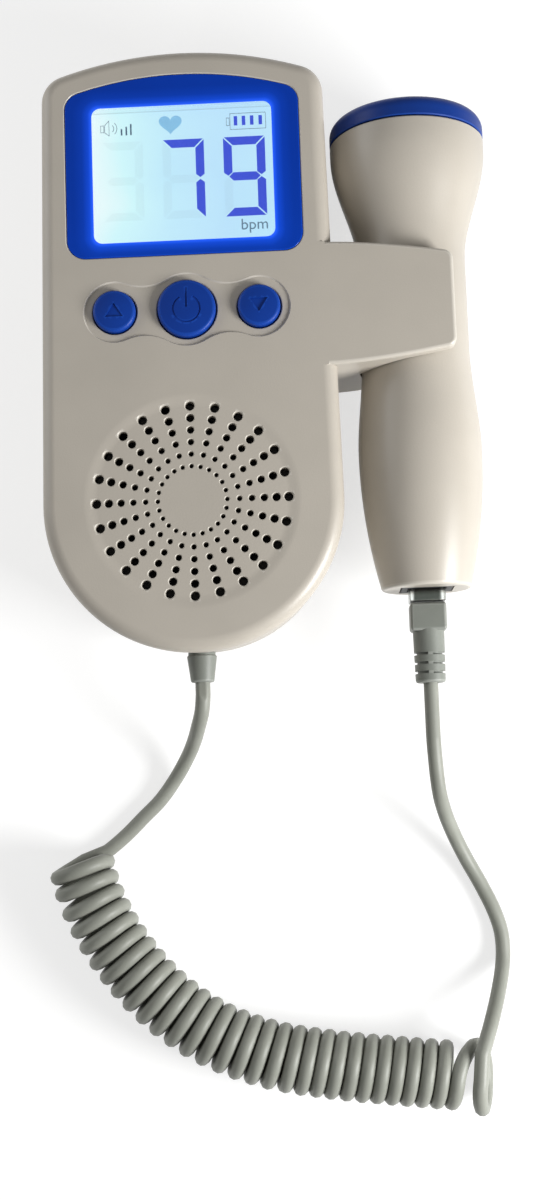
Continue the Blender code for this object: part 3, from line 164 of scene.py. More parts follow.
bpy.ops.mesh.primitive_plane_add(size=6, location=(0, 0, -0.0001))
table = bpy.context.object
table.name = "table_top"
table_white, tree = start_finish("table_white")
rays = add_node(tree, "LightPath").outputs
seen = add_math(tree, "MAXIMUM", rays["Is Camera Ray"], rays["Is Transmission Ray"])
seen = add_math(tree, "MAXIMUM", seen, rays["Is Glossy Ray"])
away = add_node(tree, "VectorMath", {0: add_place(tree)}, operation="LENGTH").outputs["Value"]
glow = add_range(tree, away, 0.35, 1.3, 0.68, 0.90)
set_shader(tree, {
    "Base Color": add_mix(tree, seen, (0.80, 0.795, 0.78, 1), (0.42, 0.42, 0.415, 1)),
    "Roughness": 0.9, "Specular IOR Level": 0.1, "Emission Color": (1, 1, 1, 1),
    "Emission Strength": add_math(tree, "MULTIPLY", seen, glow),
})
table.data.materials.append(table_white)


# Rear shell: the lower half of the case, moulded in cream satin plastic with drawn-in sides,
# a lip for the front shell, a walled battery bay, six screw posts and the clip's rear arm.
case_half, case_top_half = 0.0335, 0.0322
case_low_y, case_top_y = -0.069, 0.069
case_arch, case_corner = 0.088, 0.0065
case_depth, case_wall = 0.035, 0.0024
lip_wall, lip_height = 0.001, 0.0015
front_edge, rear_edge = 0.0032, 0.002925
parting, gap = 0.020525, 0.0003
draft = tan(radians(4.8))
draft_top = case_depth - front_edge
parting_inset = (draft_top - parting) * draft
post_r = 0.0026
probe_x, probe_z = 0.0515, 0.0192
cavity = 0.013
tiny = 1e-6


def drawn():
    """The mesh that is in edit mode."""
    return bmesh.from_edit_mesh(bpy.context.object.data)


def start_piece(name, place=(0, 0, 0)):
    """Starts a new piece as one selected point in edit mode."""
    bpy.ops.object.select_all(action="DESELECT")
    bpy.ops.mesh.primitive_plane_add(size=0.001)
    piece = bpy.context.object
    piece.name = piece.data.name = name
    bpy.ops.object.mode_set(mode="EDIT")
    bpy.ops.mesh.select_mode(type="VERT")
    bpy.ops.mesh.merge(type="CENTER")
    bpy.ops.transform.translate(value=place)
    return piece


def reach(x, y, z):
    """Extrudes the selected point to a place."""
    points = drawn().verts
    now = next(point.co.copy() for point in points if point.select)
    move = Vector((x, y, z)) - now
    if move.length > 1e-7:
        bpy.ops.mesh.extrude_region_move(TRANSFORM_OT_translate={"value": move})


def swing(x, y, angle, steps, z):
    """Sweeps the selected point round an upright axis, clockwise seen from above."""
    bpy.ops.mesh.spin(steps=steps, angle=angle, center=(x, y, z), axis=(0, 0, 1))


def lift(x, y, z):
    """Extrudes the selected faces by a distance."""
    bpy.ops.mesh.extrude_region_move(TRANSFORM_OT_translate={"value": (x, y, z)})


def pick(kind, test):
    """Selects the points, edges or faces of the piece in edit mode whose middle passes a test."""
    bpy.ops.mesh.select_mode(type=kind)
    bpy.ops.mesh.select_all(action="DESELECT")
    mesh = drawn()
    if kind == "VERT":
        for point in mesh.verts:
            point.select_set(test(point.co, point))
    elif kind == "EDGE":
        for edge in mesh.edges:
            edge.select_set(test((edge.verts[0].co + edge.verts[1].co) / 2, edge))
    else:
        for face in mesh.faces:
            face.select_set(test(face.calc_center_median(), face))
    bmesh.update_edit_mesh(bpy.context.object.data)


def pick_all():
    """Selects everything that is drawn."""
    bpy.ops.mesh.select_all(action="SELECT")


def close_up():
    """Merges doubled points and turns all faces outwards."""
    pick_all()
    bpy.ops.mesh.remove_doubles(threshold=0.000002)
    bpy.ops.mesh.normals_make_consistent(inside=False)


def fill_up():
    """Closes the drawn outline with one face that points up."""
    close_up()
    bpy.ops.mesh.edge_face_add()
    face = drawn().faces[0]
    if face.normal.z < 0:
        bpy.ops.mesh.flip_normals()
    bpy.ops.mesh.select_mode(type="FACE")


def done():
    """Leaves edit mode."""
    bpy.ops.object.mode_set(mode="OBJECT")


def seal():
    """Closes up the piece and leaves edit mode."""
    close_up()
    done()


def select_only(piece):
    """Makes a piece the active one, and the only one that is selected."""
    bpy.ops.object.select_all(action="DESELECT")
    bpy.context.view_layer.objects.active = piece
    piece.select_set(True)


def open_up(piece):
    """Takes a piece into edit mode."""
    select_only(piece)
    bpy.ops.object.mode_set(mode="EDIT")


def inset(thickness, depth=0.0):
    """Draws the selected faces in, and moves them by a depth."""
    bpy.ops.mesh.inset(thickness=thickness, depth=depth, use_even_offset=True)


def round_edges(radius, segments):
    """Rounds the selected edges."""
    bpy.ops.mesh.bevel(offset=radius, segments=segments, profile=0.5, affect="EDGES")


def mirror_on(sides, middle=(0, 0, 0)):
    """Adds the mirror image of everything that is drawn."""
    pick_all()
    bpy.ops.mesh.duplicate()
    bpy.ops.transform.resize(value=sides, center_override=middle)


def draw_arched(name, low_half, high_half, low_y, high_y, low_round, high_round, arch, inside, z):
    """Draws an upright outline with round corners and an arched top, and fills it."""
    high_x = high_half - high_round
    arch_y = high_y - arch
    high_corner = arch_y + sqrt((arch - high_round) ** 2 - high_x**2)
    lean = atan2(high_corner - arch_y, high_x)
    piece = start_piece(name, (0, low_y + inside, z))
    reach(low_round - low_half, low_y + inside, z)
    swing(low_round - low_half, low_y + low_round, pi / 2, 32 if low_round > 0.01 else 10, z)
    reach(inside - high_half, high_corner, z)
    swing(-high_x, high_corner, lean, 12, z)
    swing(0, arch_y, pi / 2 - lean, 12, z)
    mirror_on((-1, 1, 1))
    fill_up()
    return piece


def draw_case(name, inside, z):
    """Draws the outline of the case at a distance inside its widest line."""
    return draw_arched(
        name, case_half, case_top_half, case_low_y, case_top_y,
        case_half, case_corner, case_arch, inside, z,
    )


def apply_modifier(piece, kind, **settings):
    """Finishes a piece with one modifier."""
    select_only(piece)
    modifier = piece.modifiers.new(kind.lower(), kind)
    for name, value in settings.items():
        setattr(modifier, name, value)
    bpy.ops.object.modifier_apply(modifier=modifier.name)


def shape_by(piece, tool, operation="DIFFERENCE"):
    """Cuts a tool shape out of a piece or joins it on, and takes the tool away."""
    apply_modifier(piece, "BOOLEAN", operation=operation, solver="EXACT", object=tool)
    bpy.data.objects.remove(tool)
    apply_modifier(piece, "WELD", merge_threshold=0.000003)


def mark_edges(mesh):
    """Stores on each face how tightly its convex edges turn, for the painted highlight, with a
    little wear, on tight edges.
    """
    shape = bmesh.new()
    shape.from_mesh(mesh)
    tight = [0.0] * len(shape.faces)
    shape.faces.ensure_lookup_table()
    for edge in shape.edges:
        if len(edge.link_faces) == 2 and edge.is_convex and edge.calc_length() > 1e-5:
            for face in edge.link_faces:
                width = face.calc_area() / edge.calc_length()
                turn = edge.calc_face_angle(0) / (width * 1000 + 0.02)
                if width < 0.0006 and turn < 60:
                    tight[face.index] = max(tight[face.index], min(1, max(0, turn - 0.4)))
    shape.free()
    if "edge_highlight_and_wear" in mesh.attributes:
        mesh.attributes.remove(mesh.attributes["edge_highlight_and_wear"])
    mesh.attributes.new("edge_highlight_and_wear", "FLOAT", "FACE").data.foreach_set("value", tight)


def smooth_off(piece, angle=35):
    """Shades round faces smooth, and keeps level faces flat up to their last edge."""
    select_only(piece)
    bpy.ops.object.shade_smooth_by_angle(angle=radians(angle))
    apply_modifier(piece, "WEIGHTED_NORMAL", mode="FACE_AREA", weight=60, keep_sharp=True)
    mesh = piece.data
    mark_edges(mesh)
    level = {1: set(), -1: set()}
    for face in mesh.polygons:
        if abs(face.normal.z) > 0.9998:
            level[1 if face.normal.z > 0 else -1].update(face.vertices)
    normals = [tuple(corner.vector) for corner in mesh.corner_normals]
    for face in mesh.polygons:
        side = 1 if face.normal.z > 0 else -1
        if face.normal.z * side > cos(radians(angle)):
            for corner, point in zip(face.loop_indices, face.vertices):
                if point in level[side]:
                    normals[corner] = (0, 0, side)
    mesh.normals_split_custom_set(normals)


def settle(name):
    """Names the rod or block just added, and moves its place into its mesh."""
    piece = bpy.context.object
    piece.name = piece.data.name = name
    bpy.ops.object.transform_apply(location=True, rotation=True, scale=True)
    return piece


def round_rod(name, place, radius, length, sides, turn=(0, 0, 0)):
    """Adds a round rod from its middle."""
    bpy.ops.object.select_all(action="DESELECT")
    bpy.ops.mesh.primitive_cylinder_add(
        vertices=sides, radius=radius, depth=length, location=place, rotation=turn
    )
    return settle(name)


def brick(name, low, high):
    """Adds a plain block between two corners."""
    low, high = Vector(low), Vector(high)
    bpy.ops.object.select_all(action="DESELECT")
    bpy.ops.mesh.primitive_cube_add(size=1, location=(low + high) / 2, scale=high - low)
    return settle(name)


def cut_side_holes(shell):
    """Cuts the round holes of the headphone jack and the gland, half in each shell."""
    for name, place, radius, turn in (
        ("jack_hole", (0.033, 0.0369, parting), 0.0029, (0, pi / 2, 0)),
        ("gland_hole", (0, -0.068, parting), 0.0034, (pi / 2, 0, 0)),
    ):
        shape_by(shell, round_rod(name, place, radius, 0.012, 32, turn))


def post_places():
    """Places of the six case screws."""
    ring = case_half - parting_inset - case_wall - post_r - 0.0012
    reach_y = case_arch - case_corner
    high_y = case_top_y - case_arch + sqrt(reach_y**2 - (case_top_half - case_corner) ** 2)
    side = case_top_half - parting_inset - case_wall - post_r - gap
    low = (ring * cos(radians(57)), -0.0355 - ring * sin(radians(57)))
    places = [low, (side, 0.015), (side, high_y)]
    return [(sign * x, y) for x, y in places for sign in (-1, 1)]


clip_y = 0.0079
root_lap, arm_step = 0.0012, 0.0012
clip_root = case_half - parting_inset - root_lap
clip_root_half, clip_tip_half = 0.01415, 0.0109
clip_corner = 0.0018
web_slope, web_run = radians(36), 0.0068


def arm_half_length(x, root, tip):
    """Half the arm's length at a distance from the case."""
    along = max(0, (x - root) / (tip - root))
    return clip_root_half - (clip_root_half - clip_tip_half) * along**1.6


def web_middle(x):
    """Height of the slanted line between the arms near the case."""
    return parting + min(max(0, x - case_half), web_run) * tan(web_slope)


def cavity_half(x):
    """Half the height of the room between the arms: round near the case, then parallel."""
    if x >= probe_x:
        return cavity
    return sqrt(max(0, cavity**2 - (probe_x - x) ** 2))


def arm_places(root, tip):
    """Distances from the case's middle at which an arm's section is set."""
    wall = probe_x - cavity
    places = [root, case_half, (case_half + wall) / 2, wall]
    places += [probe_x - cavity * cos(radians(5) * i) for i in range(1, 19)]
    return places + [tip]


def draw_arm(name, sections):
    """Draws an arm of the clip through sections of place, half length, low and high side."""
    x, half, low, high = sections[0]
    piece = start_piece(name, (x, clip_y - half, low))
    reach(x, clip_y - half, high)
    pick_all()
    lift(0, 2 * half, 0)
    for x, half, low, high in sections[1:]:
        close = drawn()
        tip = max(point.co.x for point in close.verts)
        old = [point.co.copy() for point in close.verts if point.co.x > tip - tiny]
        old_half = max(co.y for co in old) - clip_y
        old_low, old_high = min(co.z for co in old), max(co.z for co in old)
        pick("FACE", lambda co, face: co.x > tip - tiny)
        if not any(face.select for face in drawn().faces):
            pick_all()
        lift(x - tip, 0, 0)
        bpy.ops.transform.resize(value=(1, half / old_half, 1), center_override=(x, clip_y, 0))
        middle = (old_low + old_high) / 2
        pick("VERT", lambda co, point: co.x > x - tiny and co.z < middle)
        bpy.ops.transform.translate(value=(0, 0, low - old_low))
        pick("VERT", lambda co, point: co.x > x - tiny and co.z > middle + (low - old_low) / 2)
        bpy.ops.transform.translate(value=(0, 0, high - old_high))
    close_up()
    return piece


def round_arm(outer, edge, tip):
    """Rounds the tip's corners and the outer edges of an arm that is drawn in edit mode."""
    def is_corner(co, item):
        return abs(co.x - tip) < tiny and abs(item.verts[0].co.z - item.verts[1].co.z) > 1e-4

    def is_outer(co, item):
        level = all(abs(point.co.z - outer) < tiny for point in item.verts)
        beside = any(abs(face.normal.z) < 0.6 for face in item.link_faces)
        return level and beside and co.x > case_top_half

    pick("EDGE", is_corner)
    round_edges(clip_corner, 6)
    pick("EDGE", is_outer)
    round_edges(edge, 4)
    done()


top_z, band = parting - gap / 2, 0.0002
rear_shell = draw_case("back_case", parting_inset, top_z)
lift(0, 0, -band)
close_up()
pick("FACE", lambda co, face: co.z < top_z - band / 2 and face.normal.z < -0.9)
drop = top_z - band - rear_edge
inset(drop * draft, drop)
lift(0, 0, -rear_edge)
pick("EDGE", lambda co, edge: co.z < tiny)
round_edges(rear_edge, 7)
pick("FACE", lambda co, face: co.z > top_z - tiny)
inset(case_wall - lip_wall)
lift(0, 0, lip_height + gap / 2)
inset(lip_wall)
drop = parting + lip_height - case_wall
inset(drop * draft, -drop)
seal()

rear_tip = probe_x + 0.0045
rear_low = probe_z - cavity - 0.003
sections = []
for x in arm_places(case_half - (draft_top - rear_low) * draft - root_lap, rear_tip):
    half = arm_half_length(x, clip_root, rear_tip) - arm_step
    high = probe_z - cavity_half(x)
    if x <= probe_x - cavity:
        high = web_middle(x) - gap / cos(web_slope) / 2
    sections.append((x, half, rear_low, high))
arm = draw_arm("rear_arm", sections)
round_arm(rear_low, 0.0007, rear_tip)
shape_by(rear_shell, arm, "UNION")
foot_r, well_r, hole_r = 0.0034, 0.0024, 0.0012
for x, y in post_places():
    shape_by(rear_shell, round_rod("rear_post", (x, y, 0.0104), foot_r, 0.0172, 20), "UNION")
bay_half, bay_low, bay_high, bay_wall = 0.0151, 0.0027, 0.0601, 0.0012
bay_floor, bay_top = 0.0022, 0.0169
shape_by(rear_shell, brick(
    "bay_box", (-bay_half - bay_wall, bay_low - bay_wall, bay_floor - bay_wall),
    (bay_half + bay_wall, bay_high + bay_wall, bay_top + bay_wall),
), "UNION")
bay_room = brick("bay_room", (-bay_half, bay_low, bay_floor), (bay_half, bay_high, bay_top))
shape_by(rear_shell, bay_room)
door_half, door_low, door_high, door_top = 0.0154, 0.0046, 0.0582, 0.0027
door_room = brick("door_room", (-door_half, door_low, -0.004), (door_half, door_high, door_top))
shape_by(rear_shell, door_room)
for x, y in post_places():
    shape_by(rear_shell, round_rod("screw_well", (x, y, 0.0040), well_r, 0.0160, 24))
    shape_by(rear_shell, round_rod("screw_hole", (x, y, 0.0150), hole_r, 0.0200, 16))
cut_side_holes(rear_shell)
smooth_off(rear_shell)


def make_grain_group():
    """Moulded surface: fine satin grain, slow patches of tone, and tight edges paled by a painted
    highlight with a little wear.
    """
    group = bpy.data.node_groups.new("moulded_surface", "ShaderNodeTree")
    for side, kind, names in (
        ("INPUT", "Color", ("Colour", "Patch Colour", "Edge Highlight Colour")),
        ("INPUT", "Float", ("Roughness", "Grain Scale", "Patch Scale")),
        ("OUTPUT", "Color", ("Colour",)), ("OUTPUT", "Float", ("Roughness", "Height")),
    ):
        for name in names:
            group.interface.new_socket(name, in_out=side, socket_type="NodeSocket" + kind)
    given = group.nodes.new("NodeGroupInput").outputs
    end = group.nodes.new("NodeGroupOutput")
    place = add_place(group)
    grain, patch = (
        add_node(group, "TexNoise", {
            "Vector": place, "Scale": given[scale], "Detail": detail,
        }).outputs["Fac"]
        for scale, detail in (("Grain Scale", 2.0), ("Patch Scale", 3.0))
    )
    second = given["Patch Colour"]
    tone = add_mix(group, add_range(group, patch, 0.35, 0.65), given["Colour"], second)
    tone = add_mix(group, add_range(group, grain, 0.3, 0.75, 0.0, 0.35), tone, second)
    # Tight edges are mixed towards the paler edge colour: a painted highlight for the light that
    # edges catch, with a little wear.
    edge = add_node(group, "Attribute", attribute_name="edge_highlight_and_wear").outputs["Fac"]
    tone = add_mix(group, add_range(group, edge, 0.0, 1.0, 0.0, 0.5), tone, given["Edge Highlight Colour"])
    dull = add_math(group, "MULTIPLY_ADD", patch, 0.12, given["Roughness"])
    set_inputs(group, end, {"Colour": tone, "Roughness": dull, "Height": grain})
    return group


moulded_surface = make_grain_group()


def make_finish(name, colour, patch, edge, rough, *, grain, patches, bump, **plain):
    """Makes a moulded or coated finish from the surface group and one shader. Its edge colour is
    the painted highlight, with a little wear, of tight edges.
    """
    finish, tree = start_finish(name)
    surface = add_node(tree, "Group", node_tree=moulded_surface)
    set_inputs(tree, surface, {
        "Colour": (*colour, 1), "Patch Colour": (*patch, 1), "Edge Highlight Colour": (*edge, 1),
        "Roughness": rough - 0.06, "Grain Scale": grain, "Patch Scale": patches,
    })
    relief = add_node(tree, "Bump", {
        "Strength": bump, "Distance": 0.0001, "Height": surface.outputs["Height"],
    })
    set_shader(tree, {
        "Base Color": surface.outputs["Colour"], "Roughness": surface.outputs["Roughness"],
        "Normal": relief.outputs["Normal"],
    })
    shine(finish, **plain)
    return finish


def shine(finish, **plain):
    """Sets plain values of a finish's shader."""
    inputs = {socket.replace("_", " "): value for socket, value in plain.items()}
    set_shader(finish.node_tree, inputs)


def set_finish(piece, finish, slot, *nodes, body=None):
    """Gives a piece its finish, its body and the solids that it stands for."""
    piece.data.materials.clear()
    piece.data.materials.append(finish)
    if body:
        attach(piece, body)
    if nodes:
        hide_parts(*nodes)


def refinish(finish, *nodes):
    """Gives solids of the frame a better finish."""
    for node in nodes:
        for slot in frame["nodes"][node].material_slots:
            slot.material = finish


def trimmed_copy(node, name, edge):
    """Copies a solid of the frame, closes its faces and breaks its sharp edges."""
    piece = bpy.data.objects.new(name, frame["nodes"][node].data.copy())
    bpy.context.scene.collection.objects.link(piece)
    open_up(piece)
    close_up()
    bpy.ops.mesh.dissolve_limited(angle_limit=radians(1))
    done()
    apply_modifier(
        piece, "BEVEL", width=edge, segments=3, limit_method="ANGLE", angle_limit=radians(40)
    )
    smooth_off(piece)
    return piece


cream = make_finish(
    "cream_plastic", (0.475, 0.437, 0.378), (0.44, 0.405, 0.35), (0.60, 0.57, 0.51), 0.36,
    grain=2600.0, patches=45.0, bump=0.22,
)
set_finish(rear_shell, cream, "case_plastic", "rear_shell", body="unit")


# Battery door: a flat cream cover with two tabs at its lower end and grip grooves at the
# other, moulded in the same plastic and hooked into the bay's opening.
door = trimmed_copy("battery_door", "battery_cover", edge=0.0002)
set_finish(door, cream, "case_plastic", "battery_door", body="door")


# Cells and contacts: two cells side by side, with plated plates and coiled springs at the
# bay's ends. The cells are wrapped in a dark sleeve with a copper band at one end.
def add_parts(tree):
    """Gives the three parts of the place on the piece."""
    return add_node(tree, "SeparateXYZ", {0: add_place(tree)}).outputs


def tint(finish, factor, colour):
    """Mixes another colour into a finish where the factor says so."""
    tree = finish.node_tree
    blend = add_mix(tree, factor, tree.nodes["Group"].outputs["Colour"], (*colour, 1))
    set_shader(tree, {"Base Color": blend})


for side, band_low, band_high in (("left", 0.0450, 0.0577), ("right", 0.0051, 0.0178)):
    cell = trimmed_copy("battery_cell_" + side, "cell_" + side, edge=0.0002)
    sleeve = make_finish(
        "cell_sleeve_" + side, (0.022, 0.024, 0.03), (0.03, 0.032, 0.038), (0.08, 0.08, 0.09),
        0.26, grain=900.0, patches=120.0, bump=0.05, Coat_Weight=0.6,
    )
    tree = sleeve.node_tree
    parts = add_parts(tree)
    above = add_math(tree, "GREATER_THAN", parts["Y"], band_low)
    below = add_math(tree, "LESS_THAN", parts["Y"], band_high)
    tint(sleeve, add_math(tree, "MULTIPLY", above, below), (0.56, 0.25, 0.10))
    set_finish(cell, sleeve, "cell_wrap", "battery_cell_" + side, body="unit")
steel = make_finish(
    "plated_steel", (0.62, 0.61, 0.59), (0.52, 0.51, 0.49), (0.78, 0.77, 0.75), 0.30,
    grain=1500.0, patches=200.0, bump=0.12, Metallic=1.0,
)
refinish(
    steel, "battery_lower_spring", "battery_upper_spring", "battery_negative_plate",
    "battery_positive_plate", "battery_bridge_plate",
)


# Main board: green laminate with etched tracks, which carries the two chips, the switches
# and the display, and is held by two screws to short posts of the front shell.
laminate = make_finish(
    "board_laminate", (0.012, 0.12, 0.045), (0.02, 0.16, 0.06), (0.25, 0.22, 0.12), 0.38,
    grain=1200.0, patches=260.0, bump=0.15, Coat_Weight=0.3,
)
tree = laminate.node_tree
tracks = add_node(tree, "TexBrick", {
    "Vector": add_place(tree), "Scale": 420.0, "Mortar Size": 0.035,
    "Color1": (0, 0, 0, 1), "Color2": (0, 0, 0, 1), "Mortar": (1, 1, 1, 1),
})
tint(laminate, tracks.outputs["Color"], (0.06, 0.26, 0.10))
refinish(laminate, "main_board", "probe_board")
switches = ("power_switch", "volume_up_switch", "volume_down_switch")
refinish(make_finish(
    "chip_black", (0.02, 0.02, 0.022), (0.03, 0.03, 0.03), (0.08, 0.08, 0.08), 0.55,
    grain=4000.0, patches=300.0, bump=0.4,
), "signal_processor", "audio_amplifier", "probe_socket", *switches)
refinish(steel, *(switch + "_plunger" for switch in switches))


# Speaker: a pressed basket with a paper cone and a ferrite magnet behind it, clamped under the
# holes in the front shell. Basket and cone are coloured almost black: painted shade, so that
# the holes look dark.
refinish(make_finish(
    "basket_painted_shade", (0.005, 0.005, 0.005), (0.008, 0.008, 0.008), (0.02, 0.02, 0.02), 0.7,
    grain=1500.0, patches=160.0, bump=0.3,
), "speaker_frame")
refinish(make_finish(
    "cone_paper", (0.008, 0.008, 0.009), (0.013, 0.013, 0.014), (0.03, 0.03, 0.03), 0.9,
    grain=1800.0, patches=150.0, bump=0.6,
), "speaker_cone")
ferrite = make_finish(
    "ferrite", (0.05, 0.05, 0.055), (0.07, 0.07, 0.07), (0.12, 0.12, 0.12), 0.6,
    grain=900.0, patches=200.0, bump=0.4,
)
refinish(ferrite, "speaker_magnet")


# Headphone jack: a black moulded socket under the board, whose steel-lined barrel stands in
# a hole in the case's right side.
refinish(make_finish(
    "jack_black", (0.018, 0.018, 0.02), (0.03, 0.03, 0.03), (0.09, 0.09, 0.09), 0.4,
    grain=2500.0, patches=120.0, bump=0.2,
), "headphone_jack")


# Case and board screws: small plated self-tapping screws with crossed slots, driven from
# behind into the posts.
refinish(steel, *(f"case_screw_{i}" for i in range(1, 7)), "board_screw_1", "board_screw_2")


# Display: a glass panel over a backlight, joined to the board by a rubber strip. Lit segments
# show the rate as two digits, with faint unlit ones, a battery, a heart and a loudness sign.
lcd_top = 0.0323
sign_low, sign_thick = lcd_top + 0.00002, 0.00006


def add_ramp(tree, value, stops):
    """Adds a colour ramp, and gives its colour."""
    ramp = add_node(tree, "ValToRGB", {"Fac": value})
    points = ramp.color_ramp.elements
    for i, (at, colour) in enumerate(stops):
        stop = points[i] if i < 2 else points.new(at)
        stop.position = at
        stop.color = (*colour, 1)
    return ramp.outputs["Color"]


def make_display_glow(name, share):
    """Lit panel: pale cyan, whiter at the left and bluer at the right, with a line on top."""
    finish, tree = start_finish(name)
    parts = add_parts(tree)
    across = add_range(tree, parts["X"], -0.0205, 0.0205)
    patch = add_node(tree, "TexNoise", {"Vector": add_place(tree), "Scale": 55.0, "Detail": 1.0})
    shift = add_math(tree, "MULTIPLY_ADD", patch.outputs["Fac"], 0.35, -0.17)
    tones = add_ramp(tree, add_math(tree, "ADD", across, shift), (
        (0.0, (0.84, 1.0, 1.0)), (0.16, (0.66, 0.97, 1.0)), (0.45, (0.56, 0.86, 1.0)),
        (0.75, (0.52, 0.80, 1.0)), (1.0, (0.53, 0.83, 1.0)),
    ))
    shades = ((0.0, 1.0), (1.0, 1.0), (0.46, 1.0), (0.485, 0.78), (0.515, 0.78), (0.54, 0.97))
    up = add_range(tree, parts["Y"], 0.0530, 0.0575)
    line = add_ramp(tree, up, [(at, (shade,) * 3) for at, shade in shades])
    set_shader(tree, {
        "Base Color": (0.03, 0.04, 0.045, 1), "Roughness": 0.35,
        "Emission Color": add_mix(tree, 1.0, tones, line, "MULTIPLY"), "Emission Strength": share,
    })
    return finish


refinish(make_display_glow("lit_panel", 1.0), "lcd_panel")
refinish(make_finish(
    "backlight_white", (0.72, 0.80, 0.84), (0.66, 0.74, 0.78), (0.85, 0.9, 0.92), 0.45,
    grain=1500.0, patches=80.0, bump=0.1,
), "lcd_backlight")
refinish(make_finish(
    "strip_rubber", (0.05, 0.05, 0.055), (0.09, 0.09, 0.10), (0.12, 0.12, 0.12), 0.7,
    grain=2500.0, patches=500.0, bump=0.4,
), "lcd_connector_strip")


def make_ink(name, colour, light):
    """Display segments: a flat tone with the light of the panel behind it."""
    return make_finish(
        name, tuple(0.2 * part for part in colour), tuple(0.25 * part for part in colour),
        colour, 0.5, grain=1800.0, patches=150.0, bump=0.02,
        Emission_Color=(*colour, 1), Emission_Strength=light,
    )


def draw_flat(points, low=sign_low, thick=sign_thick):
    """Draws one flat closed shape in the piece in edit mode and gives it its thickness."""
    pick("VERT", lambda co, point: False)
    bpy.ops.mesh.primitive_plane_add(size=0.0001)
    bpy.ops.mesh.merge(type="CENTER")
    bpy.ops.transform.translate(value=(*points[0], low))
    old = len(drawn().verts) - 1
    for x, y in points[1:]:
        reach(x, y, low)
    drawn().verts.index_update()
    pick("VERT", lambda co, point: point.index >= old)
    drawn().select_flush(True)
    bpy.ops.mesh.edge_face_add()
    lift(0, 0, thick)


def start_empty(name):
    """Starts a piece with nothing in it yet, in edit mode."""
    piece = start_piece(name)
    bpy.ops.mesh.delete(type="VERT")
    return piece


def corners(left, low, right, high):
    """The four corners of a rectangle."""
    return [(left, low), (right, low), (right, high), (left, high)]


def draw_sign(name, finish, shapes, low=sign_low, thick=sign_thick):
    """Makes one piece of the display from flat shapes."""
    sign = start_empty(name)
    for points in shapes:
        draw_flat(points, low, thick)
    seal()
    set_finish(sign, finish, "display_glass", body="unit")


digit_low, digit_high, digit_thick, slit = 0.0296, 0.0483, 0.00195, 0.00022
digit_width, digit_pitch, digit_right = 0.0095, 0.0139, 0.0187


def digit_segments(digits):
    """Segments by their usual letters of digits that are counted from the right."""
    w, h, t, s = digit_width / 2, (digit_high - digit_low) / 2, digit_thick, slit
    bar = [(s - w, h), (w - s, h), (w - t - s, h - t), (t + s - w, h - t)]
    post = [(-w, h - s), (t - w, h - t - s), (t - w, t / 2), (t / 2 - w, s), (-w, t / 2)]
    hyphen = [(t / 2 + s - w, 0), (t + s - w, t / 2), (w - t - s, t / 2)]
    hyphen += [(-x, -y) for x, y in hyphen]
    turned = {
        "A": (bar, 1, 1), "B": (post, -1, 1), "C": (post, -1, -1), "D": (bar, 1, -1),
        "E": (post, 1, -1), "F": (post, 1, 1), "G": (hyphen, 1, 1),
    }
    middle_y = (digit_low + digit_high) / 2
    for number, letters in digits:
        middle_x = digit_right - w - number * digit_pitch
        for points, across, along in (turned[letter] for letter in letters):
            yield [(middle_x + across * x, middle_y + along * y) for x, y in points]


lit = list(digit_segments(((0, "ABCDFG"), (1, "ABC"))))
bars = (0.0122, 0.01403, 0.0159, 0.01785)
lit += [corners(x - 0.0004, 0.0510, x + 0.0004, 0.0532) for x in bars]
draw_sign("display_digits", make_ink("segment_violet", (0.036, 0.078, 0.72), 0.85), lit)
unlit = digit_segments(((1, "DEFG"), (2, "ABCDG"), (0, "E")))
unlit_glow = make_display_glow("segment_faint", 0.945)
draw_sign("display_faint_digits", unlit_glow, unlit, lcd_top + 0.00001, 0.00004)

heart = []
for i in range(36):
    angle = tau * i / 36
    x = 16 * sin(angle) ** 3
    y = 13 * cos(angle) - 5 * cos(2 * angle) - 2 * cos(3 * angle) - cos(4 * angle)
    heart.append((-0.0027 + x * 0.000165, 0.05215 + y * 0.000156))
draw_sign("display_heart", make_ink("heart_blue", (0.25, 0.55, 0.80), 0.9), [heart])


def draw_frame(points, line):
    """Draws a closed shape as a thin line of the given width."""
    old = len(drawn().verts)
    draw_flat(points)
    pick_all()
    bpy.ops.mesh.normals_make_consistent(inside=False)
    mesh = drawn()
    mesh.verts.ensure_lookup_table()
    mine = {point.index for point in mesh.verts[old:]}
    pick("FACE", lambda co, face: (
        abs(face.normal.z) > 0.9 and all(point.index in mine for point in face.verts)
    ))
    inset(line)
    bpy.ops.mesh.bridge_edge_loops()


def ring_arc(x, y, radius, width, start, end, steps, flat=1.0):
    """Outline of a part of a ring between two angles."""
    angles = [radians(start + (end - start) * i / steps) for i in range(steps + 1)]
    outer, inner = (
        [(x + r * cos(angle), y + r * flat * sin(angle)) for angle in angles]
        for r in (radius, radius - width)
    )
    return outer + inner[::-1]


signs = start_empty("display_signs")
draw_frame(corners(0.0109, 0.05003, 0.0191, 0.0539), 0.00009)
draw_frame(corners(0.01005, 0.0510, 0.0108, 0.0529), 0.00009)
draw_frame(corners(-0.0187, 0.0507, -0.0179, 0.0524), 0.0001)
draw_frame([(-0.0178, 0.0507), (-0.0167, 0.0498), (-0.0167, 0.0536), (-0.0178, 0.0524)], 0.0001)
for radius in (0.0010, 0.0017):
    draw_flat(ring_arc(-0.0166, 0.0516, radius, 0.00012, -46, 46, 8, 1.1))
for x, high in ((-0.0139, 0.0514), (-0.0128, 0.0519), (-0.01175, 0.0525)):
    draw_flat(corners(x - 0.00018, 0.0499, x + 0.00018, high))
seal()
set_finish(signs, make_ink("sign_grey", (0.06, 0.12, 0.20), 0.8), "display_glass", body="unit")

